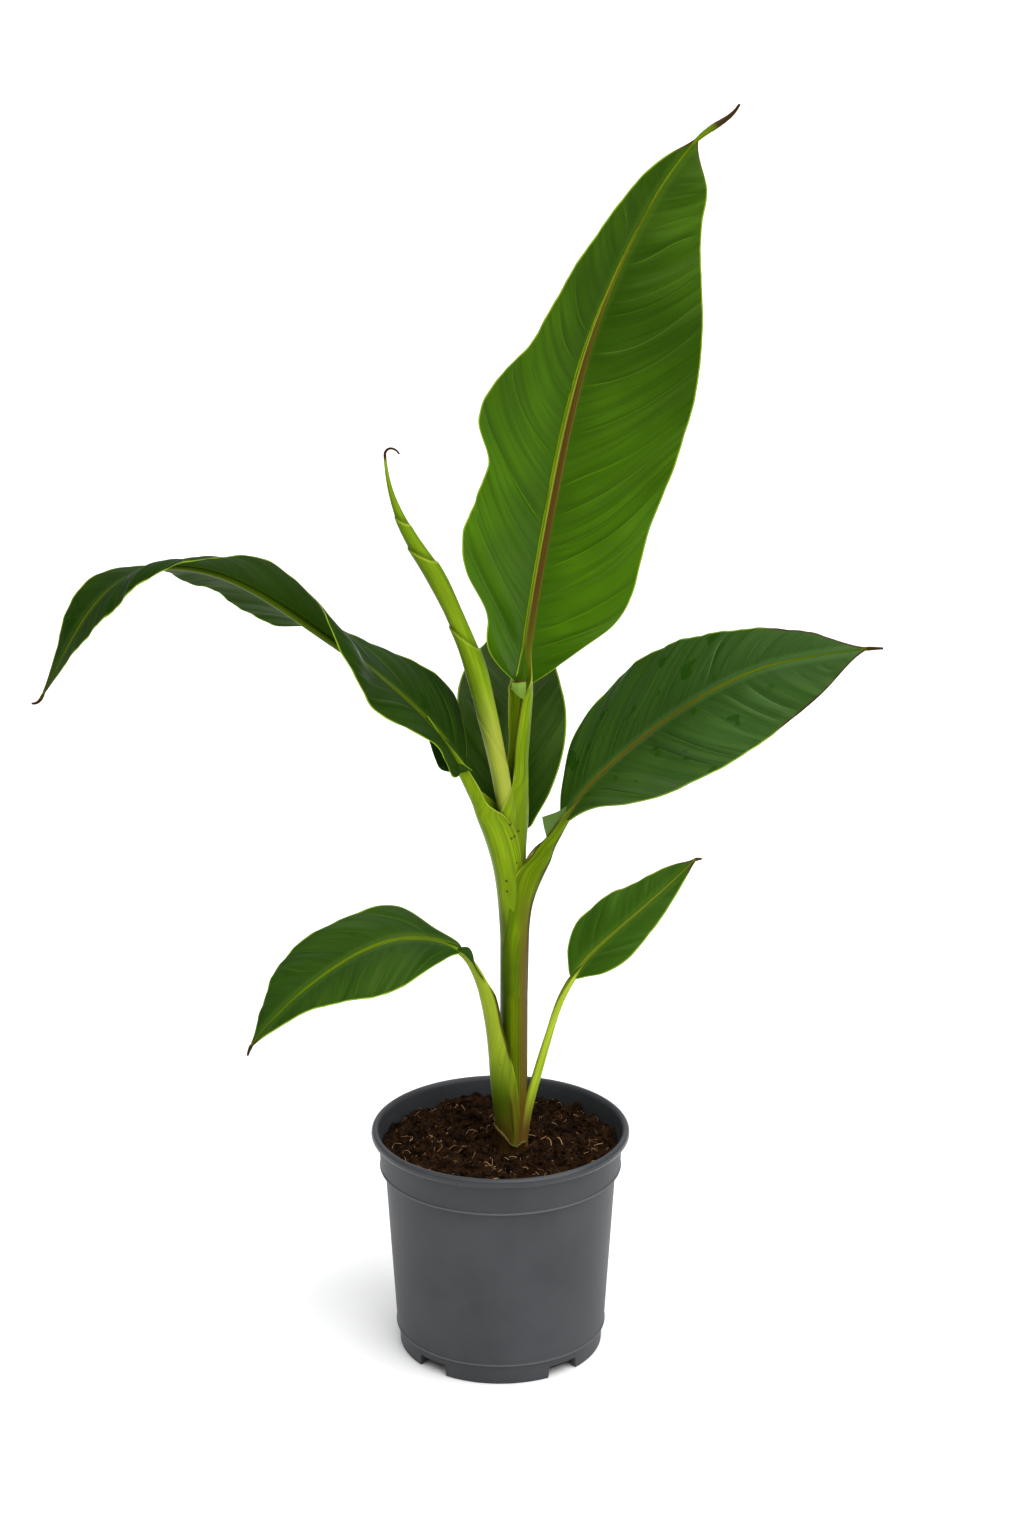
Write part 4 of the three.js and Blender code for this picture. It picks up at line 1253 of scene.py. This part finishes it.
def leaf_material(name, dark, light, under, vein, wetness=0.0, stalk_light=(1.0, 1.0, 1.0),
                  dry_from=0.93, sheen=0.2, gloss=0.22):
    """Upper face: cloudy green with streaks along the side veins, darker near the midrib and just
    behind each step as painted shade, a pale vein line on each step's crest that is partly a
    painted highlight, deeper in wet patches, and brightened and made less blue near the stalk as
    painted light. Under face: duller. The margin is dry and red-brown beyond dry_from, and
    sheen is the blue share of its gloss. Maps: the vein's number and the place across, the
    distances from rib and margin, the side and the place along, the step and its depth."""
    material, tree = new_material(name)
    vein_map = map_vector(tree, "Veins")
    rib_mm, margin_mm = map_values(tree, "Span")
    is_under, along = map_values(tree, "Side")
    step_number, step_depth = map_values(tree, "Steps")
    place = object_place(tree)
    cloudy = speckle(tree, place, 16.0, 2.0)
    streaks = speckle(tree, stretched(tree, vein_map, (2.0, 0.6, 1)), 1.0, 4.0, 0.6)
    fine = speckle(tree, stretched(tree, vein_map, (13.0, 0.8, 1)), 1.0, 3.0, 0.65)
    tone = layered(
        tree,
        mixed(tree, step(tree, cloudy, 0.25, 0.75, 0.25, 0.85), dark, light),
        (streaks, 0.42, 0.66, 0.6, dark),
        (fine, 0.5, 0.75, 0.35, light),
        # darker near the midrib: painted shade
        (rib_mm, 24.0, 3.0, 0.5, dark),
    )
    in_step = worked(tree, step_number, 0.0, "FRACT")
    # Painted shade: darker just behind each step of the pleats, fading towards the next.
    behind = worked(tree, step(tree, in_step, 0.35, 0.0, 0, 0.75), step_depth)
    tone = mixed(tree, behind, tone, dark)
    # A pale vein line along each step's crest, partly painted highlight.
    crest = worked(tree, step(tree, in_step, 0.955, 0.98), step_depth)
    tone = mixed(tree, worked(tree, crest, 0.6), tone, vein)
    # Painted light: brighter and less blue near the stalk, so the tip keeps a bluish painted sheen.
    lit = mixed(tree, step(tree, along, 0.75, 0.1), (1.0, 1.0, 1.0), stalk_light)
    tone = vectors(tree, "MULTIPLY", tone, lit)
    wet = step(tree, speckle(tree, place, 60.0, 2.0, 0.45), 0.63, 0.642, 0, wetness)
    wet = worked(tree, wet, worked(tree, 1.0, is_under, "SUBTRACT"))
    tone = mixed(tree, wet, tone, (dark[0] * 0.9, dark[1] * 1.25, dark[2] * 0.3))
    below = layered(
        tree,
        under,
        (streaks, 0.4, 0.7, 0.5, shaded(under, 0.7)),
        (fine, 0.5, 0.75, 0.5, shaded(under, 1.7)),
    )
    tone = layered(
        tree,
        mixed(tree, is_under, tone, below),
        (rib_mm, 5.0, 2.0, 0.2, vein),
        (margin_mm, 1.1, 0.5, 0.9, pale_edge),
    )
    near_tip = step(tree, along, dry_from, min(dry_from + 0.08, 0.985))
    dry = worked(tree, near_tip, step(tree, margin_mm, 1.5, 0.7))
    tone = mixed(tree, dry, tone, dry_brown)
    specks = step(tree, speckle(tree, place, 900.0, 1.0), 0.82, 0.84, 0, 0.6)
    tone = mixed(tree, specks, tone, speck_brown)
    rough = worked(tree, step(tree, cloudy, 0.3, 0.7, 0.36, 0.48), worked(tree, wet, -0.2), "ADD")
    rough = worked(tree, rough, worked(tree, is_under, 0.14), "ADD")
    ridges = relief(tree, fine, 0.12, 0.6, relief(tree, streaks, 0.5, 0.5))
    finish(tree, tone, rough, gloss, ridges, (0.7, 1.0, sheen))
    return material


# Greens are given dark, light, under and vein.
tall_green = leaf_material(
    "tall_green", (0.010, 0.035, 0.0006), (0.037, 0.101, 0.0016), (0.05, 0.12, 0.004),
    (0.075, 0.16, 0.006), stalk_light=(1.65, 1.65, 0.35),
)
right_green = leaf_material(
    "right_green", (0.012, 0.040, 0.004), (0.040, 0.100, 0.015), (0.03, 0.06, 0.006),
    (0.10, 0.20, 0.05), 0.85, (1.0, 1.0, 0.6), 0.72, 0.4,
)
left_green = leaf_material(
    "left_green", (0.007, 0.022, 0.0014), (0.022, 0.053, 0.005), (0.014, 0.038, 0.0008),
    (0.06, 0.12, 0.015), 0.6, sheen=0.22, gloss=0.05,
)
back_green = leaf_material(
    "back_green", (0.0055, 0.022, 0.0006), (0.017, 0.051, 0.002), (0.011, 0.020, 0.001),
    (0.04, 0.08, 0.012), sheen=0.25,
)
lower_left_green = leaf_material(
    "lower_left_green", (0.006, 0.027, 0.0012), (0.021, 0.066, 0.003), (0.035, 0.08, 0.004),
    (0.07, 0.15, 0.01), 0.4,
)
lower_right_green = leaf_material(
    "lower_right_green", (0.015, 0.053, 0.0016), (0.047, 0.132, 0.006), (0.05, 0.11, 0.005),
    (0.09, 0.19, 0.01), dry_from=0.86,
)
# material, how the side veins lean, and the spacing and depth of the steps on each half
looks = {
    "tall": (tall_green, (0.50, 0.55), ((27.0, 0.9), (12.0, 0.4))),
    "right": (right_green, (0.85, 0.35), ((11.0, 0.4), (20.0, 1.3))),
    "left": (left_green, (0.7, 0.45), ((19.0, 0.5), (17.0, 0.5))),
    "back": (back_green, (0.7, 0.6), ((17.0, 0.3), (15.0, 0.3))),
    "lower_left": (lower_left_green, (0.6, 0.5), ((13.0, 0.5), (14.0, 0.5))),
    "lower_right": (lower_right_green, (0.8, 0.5), ((12.0, 0.35), (12.0, 0.35))),
}
blade_thick = 0.36
row_length = 1.15
side_count = 36
swells = ((6.5, 0.06), (14.0, 0.22), (37.0, 0.5))


def facing(grid):
    """The unit normal at each point of a grid."""
    normal = np.cross(np.gradient(grid, axis=0), np.gradient(grid, axis=1))
    return normal / np.maximum(np.linalg.norm(normal, axis=-1, keepdims=True), 1e-9)


def half_blade(name, half, hand, u, frame_there, dice):
    """One half of a blade, from the midrib to its margin: points, and what its veins and steps
    are there."""
    leaf = leaves[name]
    _, lean, steps = looks[name]
    point, side, up = frame_there
    length = leaf["length"] * (1 - leaf["blade"])
    t = np.linspace(0, 1, side_count + 1)
    base = np.sqrt(np.clip(1 - (1 - np.minimum(u / 0.035, 1)) ** 2, 0, 1))
    wide = np.maximum(keyed(leaf["half"][half], u), 0.9) * (0.12 + 0.88 * base)
    fold, droop = (np.radians(keyed(leaf[bend][half], u)) for bend in ("fold", "droop"))
    slope = fold - droop * (t[1:] + t[:-1]) / 2
    stride = wide / side_count
    out = np.concatenate([0 * wide, np.cumsum(stride * np.cos(slope), 1)], 1)
    rise = np.concatenate([0 * wide, np.cumsum(stride * np.sin(slope), 1)], 1)
    place = point + side * (hand * out)[..., None] + up * rise[..., None]
    level = 1 - 0.75 * smooth(u, 0.45, 0.0) if name == "tall" and hand < 0 else 1.0
    vein_mm = u * length - wide * level * (lean[0] * t + lean[1] * t**2.2)
    rib_mm, margin_mm = wide * t, wide * (1 - t)
    spacing, depth = steps[half]
    shift, drift = dice.uniform(0, 1), dice.uniform(45, 70)
    sway = 5.0 * np.sin(vein_mm * 2 * math.pi / drift + 6 * shift) + 2.0 * np.sin(5 * t + vein_mm / 31)
    number = (vein_mm + sway) / spacing + shift
    fade = smooth(rib_mm, 2, 14) * smooth(margin_mm, 0, 10) * smooth(u, 0.0, 0.06)
    fade = fade * smooth(u, 1.0, 0.9) * (0.6 + 0.4 * np.sin(number * 2.1 + 9 * shift))
    facts = {
        "Veins": paired(vein_mm / 10 + 7 * hand, hand * t),
        "Span": paired(rib_mm, margin_mm),
        "Steps": paired(number, np.clip(fade, 0, 1)),
        "place": place,
        "depth": depth + 0 * vein_mm,
    }
    return {key: value[:, ::hand] for key, value in facts.items()}


def blade_piece(name, seed):
    """A whole blade, from its right margin to its left one. Its dice are thrown for the right
    half first, then for the left one, then for the swells."""
    leaf = leaves[name]
    rows = round(leaf["length"] * (1 - leaf["blade"]) / row_length)
    u = np.linspace(0, 1, rows + 1)[:, None]
    frame_there = rolled_frame(leaf, lines[name][0], leaf["blade"] + (1 - leaf["blade"]) * u)
    dice = np.random.default_rng(seed)
    right, left = (
        half_blade(name, half, hand, u, frame_there, dice) for half, hand in ((1, -1), (0, 1))
    )
    joined = {key: np.concatenate([right[key], left[key][:, 1:]], 1) for key in right}
    middle = joined["place"]
    along = u + 0 * middle[..., 0]
    normal = facing(middle)
    from_rib, from_margin = np.moveaxis(joined["Span"], -1, 0)
    vein_number = joined["Veins"][..., 0] * 10
    number, strength = np.moveaxis(joined["Steps"], -1, 0)
    part = number % 1.0
    saw = part * smooth(part, 1.0, 0.86) - 0.45
    wave = 1.6 * joined["depth"] * saw * strength
    for period, deep in swells:
        shift = dice.uniform(0, 2 * math.pi)
        wave += deep * np.sin(2 * math.pi * vein_number / period + shift) * smooth(from_rib, 2, 16)
    ends = smooth(along, 0.0, 0.05) * smooth(along, 1.0, 0.93)
    middle = middle + normal * (wave * ends)[..., None]
    lift = 0.5 * blade_thick * (0.4 + 0.6 * smooth(from_margin, 0, 3))[..., None]
    top, bottom = middle + normal * lift, middle - normal * lift
    kept = {key: joined[key] for key in ("Veins", "Span", "Steps")}
    upper, lower = ({**kept, "Side": paired(is_under, along)} for is_under in (0.0, 1.0))
    sheets = shell_sheets(top, bottom, upper, lower)
    return mesh_from("leaf_" + name, sheets, looks[name][0], 75.0)


for seed, name in enumerate(leaves, 5):
    piece = blade_piece(name, seed)
    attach(piece, BODY)
    if name == "left":
        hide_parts("blade_left_inner", "blade_left_outer")
    else:
        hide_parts("blade_" + name)


# Blade flaps
# At the feet of four blades a lobe folds under or curls out: small thin patches of the same
# tissue, each stretched and bulged between two lines.
flap_rows = 24
flap_columns = 16


def flap_piece(name, near, far, bulge, material):
    """A closed thin patch between two lines of points in mm, pushed out by bulge."""
    along = np.linspace(0, 1, flap_rows)
    near_line, far_line = (
        np.stack([keyed(np.array(line)[:, k], along) for k in range(3)], -1) for line in (near, far)
    )
    t = np.linspace(0, 1, flap_columns)
    middle = near_line[:, None] * (1 - t)[:, None] + far_line[:, None] * t[:, None]
    normal = facing(middle)
    normal *= -np.sign(normal[..., 1:2].mean())
    middle = middle + normal * bulge * np.sin(math.pi * t)[:, None]
    run = np.linalg.norm(near_line[-1] - near_line[0]) * along[:, None] + 0 * t
    wide = np.linalg.norm(far_line - near_line, axis=-1)[:, None]
    maps = {
        "Veins": paired(run / 10, t),
        "Span": paired(12.0, wide * t + 0.1),
        "Side": paired(0 * run, 0.5),
        "Steps": paired(0.5, 0 * run),
    }
    lift = normal * 0.5 * blade_thick
    piece = mesh_from(name, shell_sheets(middle + lift, middle - lift, maps), material, 75.0)
    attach(piece, BODY)


pale_flap = leaf_material(
    "pale_flap", (0.13, 0.22, 0.03), (0.19, 0.29, 0.05), (0.10, 0.18, 0.02), (0.2, 0.3, 0.05),
    dry_from=0.3,
)
grey_flap = leaf_material(
    "grey_flap", (0.070, 0.13, 0.022), (0.10, 0.18, 0.035), (0.08, 0.14, 0.03),
    (0.13, 0.22, 0.05), sheen=0.5,
)
flap_piece(
    "leaf_ear_tall",
    ((7.3, -2, 402.5), (10.5, -4, 403.3), (14.5, -3, 403.6)),
    ((6.1, -5, 399.3), (10.0, -7, 395.5), (13.1, -6, 393.3)),
    1.2, pale_flap,
)
flap_piece(
    "leaf_flap_right",
    ((26.2, -9, 313.5), (31.0, -10, 318.0), (37.0, -11.5, 324.0), (46.5, -10, 331.0)),
    ((23.5, -8, 325.8), (31.8, -10, 329.5), (39.0, -10, 333.6), (47.2, -9.5, 333.0)),
    0.8, grey_flap,
)
flap_piece(
    "leaf_flap_lower_left",
    ((-24.9, -17.5, 250.0), (-20.4, -18.2, 247.4), (-17.0, -17.2, 243.2), (-13.1, -15.8, 237.5),
     (-8.6, -13.4, 229.3)),
    ((-23.2, -18.5, 252.0), (-18.2, -19.5, 252.6), (-15.4, -19.0, 248.5), (-14.0, -17.0, 240.6),
     (-8.2, -13.5, 229.6)),
    0.7, lower_left_green,
)
flap_piece(
    "leaf_flap_left",
    ((-39, -25, 389), (-33, -24, 379), (-29, -22.5, 371.5), (-24, -20.5, 364), (-15.2, -22, 357.3)),
    ((-45, -29, 387), (-39.2, -30, 378.5), (-35.5, -30, 367), (-31.5, -29, 359.6), (-20.5, -25, 356.8)),
    1.0, left_green,
)


# Rolled leaf
# The newest leaf, still furled into a tapering tube, with the free edge of the blade winding
# up it and a dry hooked thread on top. Pale yellow-green, with painted shade on its left side
# and under each overlapping edge, and painted light on its lower right.
at, reach = midline(rolled)
q = np.unique(np.concatenate([np.linspace(0, 1, 320), np.linspace(1, reach, 24)]))[:, None]
point, side, up = at(q)
share = np.linspace(0, 1, 64, endpoint=False)
turn = 2 * math.pi * share
on_thread = smooth(q, 0.985, 1.01)
r = keyed(rolled["radius"], q) * (1 - on_thread) + np.interp(q, (1, reach), (0.85, 0.5)) * on_thread

# Each overlap is an edge of the blade that crosses the front of the tube, from its left to its
# right: where it starts and ends along the tube, and how far the layer below stands out.
overlaps = ((0.858, 0.822, 0.5), (0.782, 0.705, 0.9), (0.552, 0.466, 0.8), (0.31, 0.16, 0.35))
wide_r = r + 0 * turn
edge_line, shadow_line = 0 * wide_r, 0 * wide_r
toward_viewer = -side[..., 1] * np.cos(turn) - up[..., 1] * np.sin(turn)
to_right = side[..., 0] * np.cos(turn) + up[..., 0] * np.sin(turn)
seen = smooth(toward_viewer, -0.35, 0.1)
for starts, ends, stands_out in overlaps:
    crossing = (starts + ends) / 2 - (starts - ends) / 2 * to_right
    past = (crossing - q) * rolled["length"]
    reach_down = np.exp(-np.clip(past, 0, None) / 22.0)
    wide_r = wide_r + stands_out * smooth(past, -0.5, 0.3) * reach_down * seen
    # A pale line along each overlapping edge, the blade's margin and partly painted highlight; below it a
    # band of painted shadow.
    edge_line = np.maximum(edge_line, smooth(np.abs(past - 0.5), 0.8, 0.3) * seen)
    shadow_line = np.maximum(shadow_line, smooth(past, -7.0, -0.3) * smooth(past, 0.2, -0.3) * seen)
wide_r = np.where(on_thread > 0, r, wide_r)
cross = side * np.cos(turn)[:, None] + up * np.sin(turn)[:, None]
shape = point + cross * wide_r[..., None]


def closed_grid(values):
    """A grid round a tube with its first column again at the end, and both ends repeated."""
    ringed = np.concatenate([values, values[:, :1]], 1)
    return np.concatenate([ringed[:1], ringed, ringed[-1:]])


grid = closed_grid(shape)
for end in (0, -1):
    grid[end] = shape[end].mean(0)
on_tube = 1 - smooth(q, 0.97, 1.0)
# Painted shade on the tube's left side. The deeper green towards the top is the leaf's own tone.
left_shade = 0.55 * smooth(-to_right, 0.25, 0.95)
greener_top = 0.35 * smooth(q, 0.45, 0.75) * smooth(q, 0.97, 0.9)
deep = np.clip(np.maximum(left_shade, greener_top) + 0.6 * shadow_line, 0, 0.9) * on_tube
# Paler low down, which is the leaf's own tone; kept to the tube's front and right, which is painted light.
pale_middle = 0.55 * smooth(q, 0.42, 0.2) * smooth(q, 0.0, 0.06)
pale = np.maximum(0.8 * edge_line, pale_middle * smooth(to_right, -0.5, 0.2)) * on_tube
maps = {
    "Grain": paired(share * 34.0, q * rolled["length"]),
    "Tint": paired(0.25 * shadow_line, smooth(q, 0.99, 1.005)),
    "Edge": paired(pale, deep),
    "Inside": paired(0.28 * pale_middle, 0 * deep),
}
maps = {key: closed_grid(value) for key, value in maps.items()}
# Its brown is the dark tone of the painted shadow under the overlapping edges, and its deep green that of the
# painted shade.
new_skin = skin_material(
    "new_leaf_skin", (0.24, 0.36, 0.012), (0.13, 0.23, 0.005), (0.05, 0.06, 0.003),
    (0.06, 0.12, 0.002),
)
piece = mesh_from("rolled_leaf_tube", [(grid, maps)], new_skin, 60.0)
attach(piece, BODY)
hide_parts("rolled_leaf")


# Husk
# The remains of an old sheath round the stem's foot: a dry, papery scale with a ragged,
# curling upper edge.
husk_skin = skin_material(
    "husk_skin", (0.075, 0.06, 0.006), (0.035, 0.026, 0.003), (0.030, 0.016, 0.005)
)
husk_edge = ((180, 138.8), (200, 139.5), (224, 138.2), (245, 134.0), (264, 128.3), (282, 127.0), (300, 129.0))
husk_rows = 26
husk_columns = 90
husk_foot = 115.0
husk_wall = 0.45
husk_phi = np.linspace(150, 312, husk_columns)
husk_rise = np.interp(husk_phi, *np.array(husk_edge, float).T)
ragged = [
    0.7 * noise.noise(Vector((d / 9, 3, 0))) + 0.5 * noise.noise(Vector((d / 3, 8, 0)))
    for d in husk_phi
]
husk_rise = (husk_rise + np.array(ragged)) * smooth(husk_phi, 148, 165) + 120 * smooth(husk_phi, 165, 148)
share = np.linspace(0, 1, husk_rows)[:, None]
z = husk_foot + (husk_rise - husk_foot) * share
phi = np.radians(husk_phi) + 0 * z
sx, sy, sr = stem_at(z)
round_x, round_y, round_r = (v[:, None] for v in track_of("lower_left", z[:, 0])[:3])
ex, ey = round_x - sx, round_y - sy
along = ex * np.cos(phi) + ey * np.sin(phi)
off = ex * np.sin(phi) - ey * np.cos(phi)
reached = along + np.sqrt(np.maximum((round_r + 1.3) ** 2 - off**2, 0))
curl = 1.3 * smooth(share, 0.72, 1.0) * (0.6 + 0.4 * np.sin(phi * 7))
r = np.maximum(sr + 1.9, reached) + curl
outside = np.stack([sx + r * np.cos(phi), sy + r * np.sin(phi), z], -1)
thin_r = r - husk_wall
inside = np.stack([sx + thin_r * np.cos(phi), sy + thin_r * np.sin(phi), z - 0.1], -1)
edge = smooth(share, 0.88, 0.97) + 0 * phi
maps = {
    "Grain": paired(phi * 9, z),
    "Tint": paired(0.9 * smooth(share, 0.2, 0.7) * (1 - edge), 0.3 * (1 - edge)),
    "Edge": paired(0.1 * edge, 0),
    "Inside": paired(0.22 * edge, 0),
}
piece = mesh_from("husk_scale", shell_sheets(outside, inside, maps), husk_skin)
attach(piece, BODY)
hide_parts("husk")


# Floor, light and camera
# A plain pale floor in a pale studio, under four wide soft lights: a main one from the front
# right, one from high up in front, a weak one from the left and one from behind. The camera
# looks down by 17 degrees.
pale_floor, tree = new_material("pale_floor")
drift = speckle(tree, object_place(tree), 3.0)
finish(tree, mixed(tree, drift, (0.93, 0.93, 0.93), (0.95, 0.95, 0.95)), 0.9, 0.5)
floor_half = 60.0
floor_level = -0.0002
corners = [(x, y, floor_level) for y in (-floor_half, floor_half) for x in (-floor_half, floor_half)]
floor_mesh = bpy.data.meshes.new("floor")
floor_mesh.from_pydata(corners, [], [(0, 1, 3, 2)])
floor_mesh.materials.append(pale_floor)
floor = placed("floor", floor_mesh)

# bearing and height of each light in degrees, its strength, and its width in degrees
for name, bearing, height, strength, width in (
    ("key_light", -40, 52, 2.1, 60),
    ("top_light", -80, 80, 2.2, 90),
    ("fill_light", -150, 35, 0.08, 80),
    ("back_light", 70, 50, 0.5, 70),
):
    light = bpy.data.lights.new(name, "SUN")
    light.energy = strength
    light.angle = math.radians(width)
    lamp = placed(name, light)
    lamp.rotation_euler = (math.radians(90 - height), 0, math.radians(bearing + 90))

world = bpy.data.worlds.new("studio")
world.use_nodes = True
tree = world.node_tree
backdrop = tree.nodes["Background"]
backdrop.inputs[0].default_value = (0.96, 0.97, 0.98, 1.0)
seen = add(tree, "ShaderNodeLightPath").outputs["Is Camera Ray"]
tree.links.new(step(tree, seen, 0.0, 1.0, 0.32, 1.0), backdrop.inputs[1])
bpy.context.scene.world = world
bpy.context.scene.view_settings.view_transform = "Standard"

lens = bpy.data.cameras.new("camera")
lens.sensor_width = 36
lens.lens = 65.625
camera = placed("camera", lens)
camera.location = (0.0067, -1.495, 0.809)
camera.rotation_euler = (math.radians(73), 0, 0)
bpy.context.scene.camera = camera
